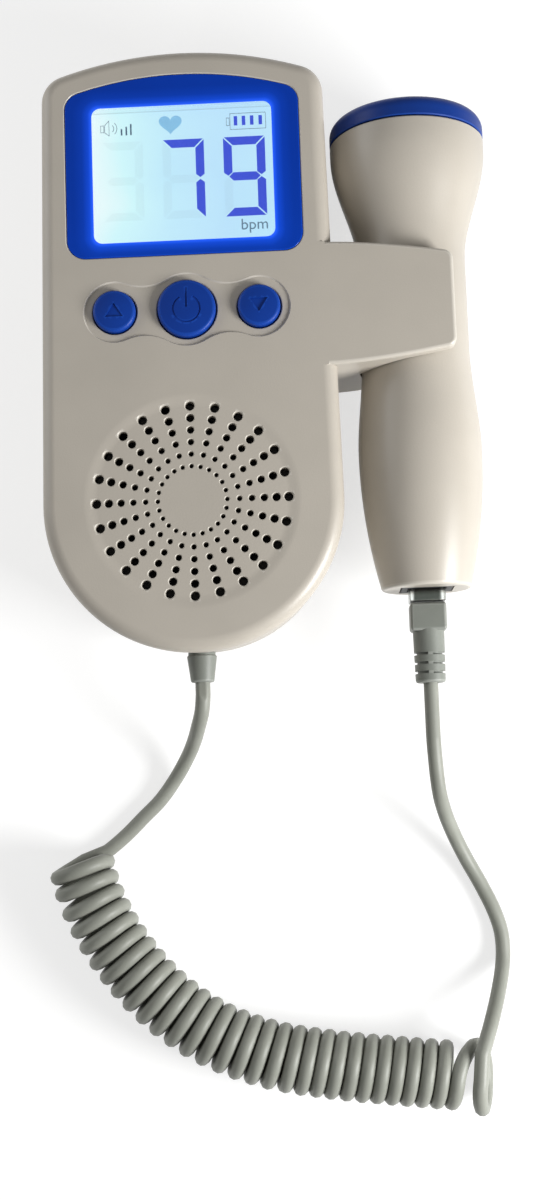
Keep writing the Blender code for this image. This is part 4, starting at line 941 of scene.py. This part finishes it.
bpy.ops.object.select_all(action="DESELECT")
bpy.ops.object.text_add()
word = bpy.context.object.data
word.body = "bpm"
word.size = 0.0036
word.extrude = 0.00003
word.resolution_u = 4
bpy.ops.object.convert(target="MESH")
rate_word = bpy.context.object
rate_word.name = "display_rate_word"
open_up(rate_word)
seal()
rate_word.location = (0.0126, 0.0264, lcd_top + 0.00006)
bpy.ops.object.transform_apply(location=True, rotation=True, scale=True)
word_grey = make_ink("word_grey", (0.12, 0.22, 0.32), 0.8)
set_finish(rate_word, word_grey, "display_glass", body="unit")


# Buttons: three royal blue caps with a round edge and a slightly domed top, each with a
# flange under the shell and a stem over its switch. Their signs are pressed into the tops.
button_y, button_pitch = 0.0078, 0.0162
power_r, volume_r = 0.0065, 0.00475
tool_height = 0.002
button_blue = make_finish(
    "button_blue", (0.0035, 0.040, 0.29), (0.003, 0.035, 0.26), (0.010, 0.07, 0.42), 0.40,
    grain=3200.0, patches=110.0, bump=0.18, Specular_IOR_Level=0.2,
)


def lathe(name, profile, middle, axis, steps):
    """Turns a profile round an axis. The profile's points are (radius, place along the axis),
    its ends are on the axis, and the axis is Y or Z through the middle."""
    x, y, z = middle

    def at(radius, along):
        return (x + radius, y, along) if axis == "Z" else (x + radius, along, z)

    piece = start_piece(name, at(*profile[0]))
    for radius, along in profile[1:]:
        reach(*at(radius, along))
    pick_all()
    turn = (0, 0, 1) if axis == "Z" else (0, 1, 0)
    bpy.ops.mesh.spin(steps=steps, angle=tau, center=middle, axis=turn)
    seal()
    return piece


def arc_points(radius, centre, start, end, steps, along):
    """Points of a profile's round corner, from one angle to another."""
    angles = [start + (end - start) * i / steps for i in range(steps + 1)]
    return [(centre + radius * cos(a), along + radius * sin(a)) for a in angles]


def dome_points(radius, along, rise, steps):
    """Points of a profile's shallow dome, from its rim to the axis."""
    shares = [1 - i / steps for i in range(1, steps + 1)]
    return [(radius * share, along + rise * (1 - share**2)) for share in shares]


def make_button(name, x, radius):
    """Makes one cap from the stem under its flange to the dome on its top."""
    stem_r, stem_low, flange_low, flange_high = 0.0019, 0.029825, 0.0313, 0.0323
    flange_r, top, edge = radius + 0.0013, 0.0362, 0.0007
    profile = [(0, stem_low), (stem_r, stem_low), (stem_r, flange_low), (flange_r, flange_low)]
    profile += [(flange_r, flange_high), (radius, flange_high)]
    profile += arc_points(edge, radius - edge, 0, pi / 2, 6, top - edge)
    profile += dome_points(radius - edge, top, 0.0004, 6)
    return lathe(name, profile, (x, button_y, 0), "Z", 64)


def press_in(piece, points, low):
    """Presses a flat shape into the top of a cap, down to a height."""
    tool = start_empty("stamp")
    draw_flat(points, low, tool_height)
    seal()
    shape_by(piece, tool)


power_cap = make_button("power_cap", 0, power_r)
arc = ring_arc(0, button_y - 0.0003, radius=0.0032, width=0.0004, start=118, end=422, steps=40)
press_in(power_cap, arc, low=0.0363)
press_in(power_cap, corners(-0.0002, button_y, 0.0002, button_y + 0.0046), low=0.0363)
smooth_off(power_cap)
set_finish(power_cap, button_blue, "blue_plastic", "power_button", body="power_key")
for name, side in (("up", -1), ("down", 1)):
    x, tip = side * button_pitch, -side * 0.0017
    cap = make_button(f"volume_{name}_cap", x, volume_r)
    foot = button_y - tip * 0.85
    press_in(cap, [(x - 0.002, foot), (x, button_y + tip), (x + 0.002, foot)], low=0.0362)
    smooth_off(cap)
    set_finish(cap, button_blue, "blue_plastic", f"volume_{name}_button", body=f"volume_{name}_key")


# Front shell: the upper half of the case, moulded in the same cream plastic, with the round
# front edge, the clip's front arm, the lens seat, the button panel and the speaker's holes.
face_z = parting + gap / 2
front_shell = draw_case("face_case", 0, draft_top)
lift(0, 0, front_edge)
close_up()
pick("EDGE", lambda co, edge: min(p.co.z for p in edge.verts) > case_depth - tiny)
round_edges(front_edge, 10)
pick("FACE", lambda co, face: co.z < draft_top + tiny and face.normal.z < -0.9)
drop = draft_top - face_z
inset(drop * draft, drop)
inset(case_wall - lip_wall - gap)
lift(0, 0, lip_height + gap / 2)
inset(lip_wall + gap)
lift(0, 0, case_depth - case_wall - (face_z + lip_height + gap / 2))
seal()

front_tip = probe_x + 0.0083
sections = []
for x in (case_top_half - front_edge, clip_root - gap):
    half = arm_half_length(x, clip_root, front_tip)
    sections.append((x, half, case_depth - case_wall / 2, case_depth))
for x in arm_places(clip_root, front_tip):
    low = max(web_middle(x) + gap / cos(web_slope) / 2, probe_z + cavity_half(x))
    sections.append((x, arm_half_length(x, clip_root, front_tip), low, case_depth))
arm = draw_arm("front_arm", sections)
round_arm(case_depth, 0.0008, front_tip)
shape_by(front_shell, arm, "UNION")
for x, y in post_places():
    shape_by(front_shell, round_rod("front_post", (x, y, 0.0265), post_r, 0.0143, 20), "UNION")


def draw_lens(name, inside, z):
    """Draws the outline of the display's lens at a distance inside it."""
    half, low_y, high_y, corner, arch = 0.02685, 0.02015, 0.0631, 0.0045, 0.0821
    return draw_arched(name, half, half, low_y, high_y, corner, corner, arch, inside, z)


def round_box(name, half, low_y, high_y, corner, low, high):
    """Draws a block with round upright corners."""
    piece = start_piece(name, (0, low_y, low))
    reach(corner - half, low_y, low)
    swing(corner - half, low_y + corner, pi / 2, 8, low)
    reach(-half, high_y - corner, low)
    swing(corner - half, high_y - corner, pi / 2, 8, low)
    reach(0, high_y, low)
    mirror_on((-1, 1, 1))
    fill_up()
    lift(0, 0, high - low)
    seal()
    return piece


def draw_panel(big, small, waist, z):
    """Draws the sunk panel's outline: three lobes round the buttons, joined by waists."""
    x = ((big + waist) ** 2 - (small + waist) ** 2 + button_pitch**2) / (2 * button_pitch)
    y = sqrt((big + waist) ** 2 - x**2)
    piece = start_piece("panel_tool", (-button_pitch - small, button_y, z))
    side_angle, big_angle = atan2(y, button_pitch - x), atan2(y, x)
    swing(-button_pitch, button_y, pi - side_angle, 14, z)
    swing(-x, button_y + y, -(pi - side_angle - big_angle), 10, z)
    swing(0, button_y, pi / 2 - big_angle, 10, z)
    mirror_on((-1, 1, 1))
    mirror_on((1, -1, 1), (0, button_y, 0))
    fill_up()
    return piece


def deepen(width, depth):
    """Gives the drawn outline its height as a tool, with a slanted edge under it."""
    lift(0, 0, tool_height)
    close_up()
    pick("FACE", lambda co, face: face.normal.z < -0.9)
    inset(width, depth)


def smooth_rise(share):
    """Rises from 0 to 1 with level ends."""
    share = min(1, max(0, share))
    return share * share * (3 - 2 * share)


lens_seat = draw_lens("lens_seat", inside=-0.0002, z=case_depth + 0.0002)
deepen(width=0.0004, depth=0.0004)
lift(0, 0, -0.0013)
seal()
shape_by(front_shell, lens_seat)
shape_by(front_shell, round_box(
    "window_tool", half=0.0211, low_y=0.0231, high_y=0.0562, corner=0.002, low=0.030, high=0.036
))
panel = draw_panel(big=0.00845, small=0.0071, waist=0.01025, z=case_depth + 0.00005)
deepen(width=0.0003, depth=0.00045)
seal()
shape_by(front_shell, panel)
hole_low, hole_high, hole_edge = 0.030, case_depth - 0.0004, 0.00018
for x, button_r in ((0, power_r), (-button_pitch, volume_r), (button_pitch, volume_r)):
    radius = button_r + gap
    mouth = radius + 2 * hole_edge
    shape_by(front_shell, lathe("button_hole", [
        (0, hole_low), (radius, hole_low), (radius, hole_high - hole_edge),
        (mouth, hole_high + hole_edge), (mouth, hole_high + tool_height),
        (0, hole_high + tool_height),
    ], (x, button_y, 0), "Z", 64))
speaker_y, dish_depth = -0.0355, 0.0003
dish_r, slope_width = 0.0210, 0.0032
dish_low = case_depth - dish_depth
profile = [(0, dish_low), (dish_r, dish_low)]
profile += [
    (dish_r + slope_width * i / 8, dish_low + dish_depth * smooth_rise(i / 8)) for i in range(1, 9)
]
tool_top = case_depth + tool_height
profile += [(dish_r + slope_width + 0.0003, tool_top), (0, tool_top)]
shape_by(front_shell, lathe("dish_tool", profile, (0, speaker_y, 0), "Z", 120))

holes = start_empty("grille_tool")
rings, rows = 6, 24
first_ring, last_ring, first_r, last_r = 0.00768, 0.02126, 0.0005, 0.00106
chamfer_width, chamfer_rise = 0.00032, 0.00036
for ring in range(rings):
    away = first_ring + (last_ring - first_ring) * ring / (rings - 1)
    radius = first_r + (last_r - first_r) * ring / (rings - 1)
    pick("VERT", lambda co, point: False)
    bpy.ops.mesh.primitive_cylinder_add(
        vertices=14, radius=radius, depth=0.004, location=(0, speaker_y + away, dish_low - 0.00218)
    )
    bpy.ops.mesh.select_mode(type="FACE")
    mesh = drawn()
    for face in mesh.faces:
        top = face.normal.z > 0.9 and face.calc_center_median().z > dish_low - 0.001
        if face.select and not top:
            face.select_set(False)
    bmesh.update_edit_mesh(bpy.context.object.data)
    lift(0, 0, chamfer_rise)
    grown = (radius + chamfer_width) / radius
    middle = (0, speaker_y + away, dish_low)
    bpy.ops.transform.resize(value=(grown, grown, 1), center_override=middle)
    lift(0, 0, 0.001)
    bpy.ops.mesh.select_linked(delimit=set())
    bpy.ops.mesh.spin(
        steps=rows - 1, angle=tau * (rows - 1) / rows, center=(0, speaker_y, 0), axis=(0, 0, 1),
        dupli=True,
    )
pick_all()
bpy.ops.mesh.normals_make_consistent(inside=False)
done()
shape_by(front_shell, holes)
cut_side_holes(front_shell)
smooth_off(front_shell)
set_finish(front_shell, cream, "case_plastic", "front_shell", body="unit")


# Lens: one flat acrylic plate, printed royal blue from behind round a clear window, and
# fixed flush in its seat. The lit panel colours the print next to the window.
lens_thick = 0.0012
lens_low = case_depth - lens_thick
window_half, window_low, window_high, window_corner = 0.02045, 0.02375, 0.05555, 0.002
window_fit = 0.00002
lens = draw_lens("display_lens_plate", gap, lens_low)
lift(0, 0, lens_thick)
close_up()
pick("EDGE", lambda co, edge: min(p.co.z for p in edge.verts) > case_depth - tiny)
round_edges(0.00022, 3)
done()
shape_by(lens, round_box(
    "window_cut", window_half, window_low, window_high, window_corner, 0.033, 0.036
))
smooth_off(lens)


def make_lens_print():
    """Glossy royal blue, brighter and lit from within next to the window."""
    finish = make_finish(
        "lens_blue", (0.0012, 0.043, 0.42), (0.001, 0.038, 0.38), (0.006, 0.065, 0.50), 0.16,
        grain=400.0, patches=30.0, bump=0.01, Specular_IOR_Level=0.15, Emission_Strength=0.8,
    )
    tree = finish.node_tree
    parts = add_parts(tree)
    squares = []
    for axis, middle, half in (("X", 0.0, 0.0188), ("Y", 0.03965, 0.01425)):
        away = add_math(tree, "ABSOLUTE", add_math(tree, "SUBTRACT", parts[axis], middle))
        past = add_math(tree, "MAXIMUM", add_math(tree, "SUBTRACT", away, half), 0.0)
        squares.append(add_math(tree, "POWER", past, 2.0))
    past = add_math(tree, "SQRT", add_math(tree, "ADD", *squares))
    shine(finish, Emission_Color=add_ramp(tree, add_math(tree, "DIVIDE", past, 0.0060), (
        (0.0, (0.10, 0.32, 1.0)), (0.27, (0.025, 0.12, 0.95)), (0.42, (0.005, 0.04, 0.40)),
        (0.66, (0.001, 0.010, 0.10)), (1.0, (0, 0, 0)),
    )))
    return finish


def make_clear(name, rough, colour, patch):
    """Clear or tinted acrylic with a faint haze."""
    return make_finish(
        name, colour, patch, (1, 1, 1), rough + 0.06,
        grain=500.0, patches=40.0, bump=0.01, Transmission_Weight=1.0, IOR=1.49,
    )


window_clear = round_box(
    "window_clear", window_half - window_fit, window_low + window_fit, window_high - window_fit,
    window_corner, lens_low + 0.0001, case_depth - 0.0001,
)
smooth_off(window_clear)
lens.data.materials.clear()
lens.data.materials.append(make_lens_print())
lens_clear = make_clear("lens_clear", 0.02, (0.98, 0.99, 1.0), (0.96, 0.98, 0.99))
window_clear.data.materials.append(lens_clear)
select_only(lens)
window_clear.select_set(True)
bpy.ops.object.join()
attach(lens, "unit")
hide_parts("display_lens")


# Probe body: a hollow turned handle in cream plastic that swells to a round head, is held by
# its neck in the clip, and has a square opening in its tail for the cord's socket.
head_rise, grip_fall, tail_fall = 0.026, 0.024, 0.0315
neck_high, neck_low = clip_y + 0.0131, clip_y - 0.0079
cap_y = neck_high + head_rise + 0.0029
grip_y = neck_low - grip_fall
tail_y = grip_y - tail_fall
head_r, neck_r, grip_r, tail_r = 0.01795, 0.0124, 0.01415, 0.0101
probe_wall, tail_wall, tail_edge = 0.002, 0.0025, 0.0008


def probe_radius(y):
    """Radius of the probe's body along its axis."""
    if y >= neck_low:
        return neck_r + (head_r - neck_r) * smooth_rise((y - neck_high) / head_rise)
    if y >= grip_y:
        return neck_r + (grip_r - neck_r) * smooth_rise((neck_low - y) / grip_fall)
    return grip_r - (grip_r - tail_r) * ((grip_y - y) / tail_fall) ** 2


profile = [(0, tail_y), (probe_radius(tail_y) - tail_edge, tail_y)]
rim = probe_radius(tail_y + tail_edge)
for i in range(1, 6):
    turn = pi / 10 * i
    profile.append((rim - tail_edge * (1 - sin(turn)), tail_y + tail_edge * (1 - cos(turn))))
body_end = cap_y - gap
start, end = tail_y + tail_edge, body_end - 0.0003
profile += [(probe_radius(y), y) for y in (start + (end - start) * i / 72 for i in range(1, 73))]
profile += [(head_r - 0.0003, body_end), (head_r - probe_wall, body_end)]
inner_start = tail_y + tail_wall
ys = [body_end + (inner_start - body_end) * i / 24 for i in range(1, 25)]
profile += [(probe_radius(y) - probe_wall, y) for y in ys] + [(0, inner_start)]
probe_body = lathe("probe_handle", profile, (probe_x, 0, probe_z), "Y", 72)
shape_by(probe_body, brick(
    "socket_tool", (probe_x - 0.00605, tail_y - 0.003, probe_z - 0.00505),
    (probe_x + 0.00605, inner_start + 0.003, probe_z + 0.00505),
))
smooth_off(probe_body)
set_finish(probe_body, cream, "case_plastic", "probe_body", body="probe")


# Face cap: a blue moulded cap with a spigot pressed into the head, a round rim and a
# slightly domed face. The crystals, their backing and the probe's board sit behind it.
spigot = head_r - probe_wall - gap
bore, spigot_y = spigot - 0.0016, cap_y - 0.0035
rim_y, rim_round = cap_y + 0.0021, 0.003
face_y = rim_y + rim_round
profile = [(0, face_y - 0.0022), (bore, face_y - 0.0022), (bore, spigot_y), (spigot, spigot_y)]
profile += [(spigot, cap_y), (head_r - 0.0002, cap_y), (head_r, cap_y + 0.0002)]
profile += arc_points(rim_round, head_r - rim_round, 0, pi / 2, 12, rim_y)
profile += dome_points(head_r - rim_round, face_y, 0.001, 10)
probe_cap = lathe("probe_cap", profile, (probe_x, 0, probe_z), "Y", 72)
smooth_off(probe_cap)
cap_blue = make_finish(
    "cap_blue", (0.004, 0.036, 0.24), (0.0035, 0.031, 0.21), (0.010, 0.065, 0.36), 0.42,
    grain=2600.0, patches=90.0, bump=0.18, Specular_IOR_Level=0.22,
)
set_finish(probe_cap, cap_blue, "blue_plastic", "probe_face_cap", body="probe")
refinish(make_finish(
    "crystal_ceramic", (0.60, 0.50, 0.34), (0.54, 0.45, 0.30), (0.72, 0.66, 0.5), 0.5,
    grain=1800.0, patches=150.0, bump=0.3,
), "transmit_crystal", "receive_crystal")
refinish(make_finish(
    "backing_resin", (0.12, 0.09, 0.07), (0.16, 0.13, 0.10), (0.2, 0.17, 0.14), 0.75,
    grain=1400.0, patches=220.0, bump=0.6,
), "acoustic_backing")


# Plug: a clear modular plug with four gold-plated blades under its front end, pushed into
# the socket in the probe's tail. Its clear plastic is tinted dark grey as painted shade for
# its dim inside, and its side walls are paler as a painted highlight.
plug = trimmed_copy("cord_plug", "clear_plug", edge=0.0003)
plug_clear = make_clear("plug_clear", 0.14, (0.080, 0.092, 0.080), (0.060, 0.070, 0.062))
tree = plug_clear.node_tree
from_axis = add_math(tree, "SUBTRACT", add_parts(tree)["X"], probe_x)
aside = add_math(tree, "ABSOLUTE", from_axis)
# Pale side walls: painted highlight; the dark grey elsewhere is painted shade.
tint(plug_clear, add_range(tree, aside, 0.0029, 0.0032), (0.86, 0.90, 0.88))
set_finish(plug, plug_clear, "clear_plastic", "cord_plug", body="plug")
plug_contacts = [f"plug_contact_{i}" for i in range(1, 5)]
refinish(make_finish(
    "contact_gold", (0.80, 0.55, 0.20), (0.72, 0.48, 0.16), (0.95, 0.75, 0.4), 0.24,
    grain=2000.0, patches=400.0, bump=0.08, Metallic=1.0,
), *plug_contacts)


# Boot: a grey flexible moulding on the cord, with a square collar behind the plug and a
# tapered sleeve cut by three rows of slots, so that it bends with the cord.
boot_start, boot_end, end_lap = -0.065, -0.0763, 0.0004
boot_start_r, boot_end_r = 0.0036, 0.0034
slot_half, slot_depth = 0.0003, 0.0006
cuts = [boot_end + away for away in (0.0061, 0.0040, 0.0019)]


def boot_radius(y):
    """Radius of the boot along its taper."""
    return boot_start_r + (boot_end_r - boot_start_r) * (boot_start - y) / (boot_start - boot_end)


tip = boot_end - end_lap
profile = [(0, boot_start + 0.003), (boot_start_r, boot_start + 0.003)]
profile += [(boot_radius(y), y) for cut in cuts for y in (cut + slot_half, cut - slot_half)]
profile += arc_points(0.0006, boot_end_r - 0.0006, 0, -pi / 2, 4, tip + 0.0006) + [(0, tip)]
sleeve = lathe("boot_sleeve", profile, (probe_x, 0, probe_z), "Y", 40)
open_up(sleeve)
for cut in cuts:
    for side in (-1, 1):
        pick("FACE", lambda co, face: (
            abs(co.y - cut) < slot_half and side * (co.x - probe_x) > 0.00045
        ))
        bpy.ops.mesh.extrude_region_shrink_fatten(
            TRANSFORM_OT_shrink_fatten={"value": -slot_depth}
        )
seal()
collar_x, collar_z = 0.0041, 0.0036
boot = start_piece("cord_boot", (probe_x - collar_x, boot_start, probe_z - collar_z))
reach(probe_x + collar_x, boot_start, probe_z - collar_z)
pick_all()
lift(0, 0.0063, 0)
pick_all()
lift(0, 0, 2 * collar_z)
close_up()
pick("EDGE", lambda co, edge: True)
round_edges(0.0007, 4)
done()
shape_by(boot, sleeve, "UNION")
bore = round_rod(
    "cord_bore", (probe_x, boot_end + 0.0061, probe_z), 0.0019, 0.0132, 24, (pi / 2, 0, 0)
)
shape_by(boot, bore)
smooth_off(boot)
boot_grey = make_finish(
    "boot_grey", (0.205, 0.218, 0.192), (0.175, 0.187, 0.165), (0.30, 0.31, 0.285), 0.48,
    grain=2600.0, patches=140.0, bump=0.25,
)
set_finish(boot, boot_grey, "cord_plastic", "cord_plug_boot", body="plug")


# Gland: a tapered grey sleeve that leaves the case's lower end, with a neck held between the
# two shells and a flange behind it.
neck, flange, root, end_r = 0.0031, 0.0045, 0.0034, 0.0027
inner_wall = case_low_y + (draft_top - (parting - flange)) * draft + case_wall + 0.0008
outer_wall = case_low_y + (draft_top - (parting + root)) * draft - gap
gland_end = case_low_y - 0.0054
profile = [(0, inner_wall + 0.0014), (flange, inner_wall + 0.0014), (flange, inner_wall)]
profile += [(neck, inner_wall), (neck, outer_wall)]
lip, start = gland_end - end_lap, outer_wall - 0.0003
profile += [
    (root - (root - end_r) * i / 6, start + (lip + 0.0008 - outer_wall) * i / 6) for i in range(7)
]
profile += arc_points(0.0005, end_r - 0.0005, 0, -pi / 2, 4, lip + 0.0005) + [(0, lip)]
gland = lathe("cord_sleeve", profile, (0, 0, parting), "Y", 40)
smooth_off(gland)
set_finish(gland, boot_grey, "cord_plastic", "cord_gland", body="unit")


# Cord: a grey-green round cord of 1.33 m, from the gland along the table into 30 and a half
# curls and up to the boot. Its route is the route of the solids, with finer steps.
cord_d, straight = 0.0034, 0.00285
curl_r, curl_z, curls = 0.00605, 0.00776, 30.5
curl_ease, curl_lean, lean_share = 0.06, 0.22, 0.65
open_rise, open_shift, exit_shift = 0.0016, 0.0056, 0.0017
curl_steps, chord_steps, entry_share = 28, 9, 0.6
free_step, boot_lead = 0.0012, 0.012
up = Vector((0, 0, 1))
curl_route = [
    (-0.0322, -0.1046), (-0.0305, -0.1144), (-0.0277, -0.1240), (-0.0218, -0.1348),
    (-0.0128, -0.1455), (-0.0016, -0.1537), (0.0115, -0.1590), (0.0260, -0.1618),
    (0.0415, -0.1637), (0.0572, -0.1653), (0.0722, -0.1667),
]
unit_route = [
    (-0.0005, -0.0814, 0.0193), (-0.0016, -0.0844, 0.0162), (-0.0031, -0.0876, 0.0108),
    (-0.0053, -0.0913, 0.0056), (-0.0085, -0.0961, 0.0024), (-0.0122, -0.1009, 0.0016),
    (-0.0163, -0.1048, 0.0016), (-0.0205, -0.1088, 0.0016),
]
probe_route = [
    (0.0620, -0.1535, 0.0106), (0.0645, -0.1470, 0.0058), (0.0662, -0.1405, 0.0024),
    (0.0663, -0.1345, 0.0016), (0.0648, -0.1290, 0.0016), (0.0620, -0.1228, 0.0017),
    (0.0589, -0.1170, 0.0030), (0.0562, -0.1115, 0.0060), (0.0538, -0.1057, 0.0110),
    (0.0523, -0.0997, 0.0162),
]


def smooth_route(route):
    """Points on a smooth curve through a route's own points, but for its first and last."""
    route = [Vector(point) for point in route]
    points = []
    for a, b, c, d in zip(route, route[1:], route[2:], route[3:]):
        for i in range(12):
            t = i / 12
            bent = (d - a + (b - c) * 3) * t**3 + (a * 2 - b * 5 + c * 4 - d) * t**2
            points.append((bent + (c - a) * t) / 2 + b)
    return points + [route[-2]]


def evenly(points, count, guide=None):
    """The same curve as evenly spaced points, measured along it or along a guide beside it."""
    coords = np.array([tuple(point) for point in points])
    measured = np.array([tuple(point) for point in guide or points])
    along = np.concatenate([[0], np.cumsum(np.linalg.norm(np.diff(measured, axis=0), axis=1))])
    wanted = np.linspace(0, along[-1], count)
    return [Vector(p) for p in zip(*[np.interp(wanted, along, coords[:, i]) for i in range(3)])]


fine = smooth_route([(x, y, curl_z) for x, y in curl_route])
last = len(fine) - 1
inside = []
for i, point in enumerate(fine):
    tangent = (fine[min(last, i + 1)] - fine[max(0, i - 1)]).normalized()
    inside.append(point + up.cross(tangent) * curl_r)
axis = evenly(fine, 300, inside)


def curl_point(share):
    """Point on the cord in its curls: under the first curl, and over the open last one."""
    eased = share - curl_ease * share * (1 - share) ** 2
    angle = pi + tau * curls * eased
    at = share * (len(axis) - 1)
    i = min(int(at), len(axis) - 2)
    tangent = (axis[i + 1] - axis[i]).normalized()
    to_end = curls * (1 - eased)
    bump = sin(pi * to_end) ** 2 if to_end < 1 else 0
    radius = curl_r + open_rise * bump
    side = -sin(angle) * radius
    shift = side * curl_lean * max(0, 1 - share / lean_share) + open_shift * bump
    if to_end < 0.5:
        shift += exit_shift * (1 - bump)
    rise = up * (cos(angle) * radius + open_rise * bump)
    return axis[i].lerp(axis[i + 1], at - i) + rise + tangent.cross(up) * side + tangent * shift


def stretch(start, leave, route, end, arrive, lead):
    """A free stretch of cord, straight at both ends."""
    first, last = start + leave * straight, end - arrive * lead
    smooth = smooth_route([start, first] + route + [last, end])
    length = sum((b - a).length for a, b in zip(smooth, smooth[1:]))
    return [start] + evenly(smooth, round(length / free_step)) + [end]


count = round(curls * curl_steps)
turns = [curl_point(i / count) for i in range(count + 1)]
chord = curl_point(1 / (curls * chord_steps)) - turns[0]
back = (-chord * Vector((1, 1, 0))).normalized()
entry = back.slerp(up.cross(axis[1] - axis[0]).normalized(), entry_share)
leave = up.cross(axis[-1] - axis[-2]).normalized()
first, last = turns[0] + entry * straight, turns[-1] + leave * straight
gland_point = Vector((0, gland_end - gap, parting))
boot_point = Vector((probe_x, boot_end - gap, probe_z))
down = Vector((0, -1, 0))
line = stretch(gland_point, down, [Vector(p) for p in unit_route], first, -entry, straight)
line += turns
line += stretch(last, leave, [Vector(p) for p in probe_route], boot_point, -down, boot_lead)
route, line = line, line[:1]
for point in route[1:]:
    if (point - line[-1]).length > 0.0002:
        line.append(point)

curve = bpy.data.curves.new("curly_cord", "CURVE")
curve.dimensions = "3D"
curve.bevel_depth = cord_d / 2
curve.bevel_resolution = 3
curve.use_fill_caps = True
spline = curve.splines.new("POLY")
spline.points.add(len(line) - 1)
for spot, point in zip(spline.points, line):
    spot.co = (*point, 1)
cord = bpy.data.objects.new("curly_cord", curve)
bpy.context.scene.collection.objects.link(cord)
select_only(cord)
bpy.ops.object.convert(target="MESH")
cord = bpy.context.object
open_up(cord)
seal()
smooth_off(cord, 60)
cord_grey = make_finish(
    "cord_grey", (0.258, 0.266, 0.232), (0.222, 0.229, 0.198), (0.35, 0.36, 0.325), 0.46,
    grain=2200.0, patches=90.0, bump=0.15, Specular_IOR_Level=0.35,
)
set_finish(
    cord, cord_grey, "cord_plastic", "cord_unit_stretch", "cord_coil", "cord_probe_stretch"
)
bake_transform(cord)
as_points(line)
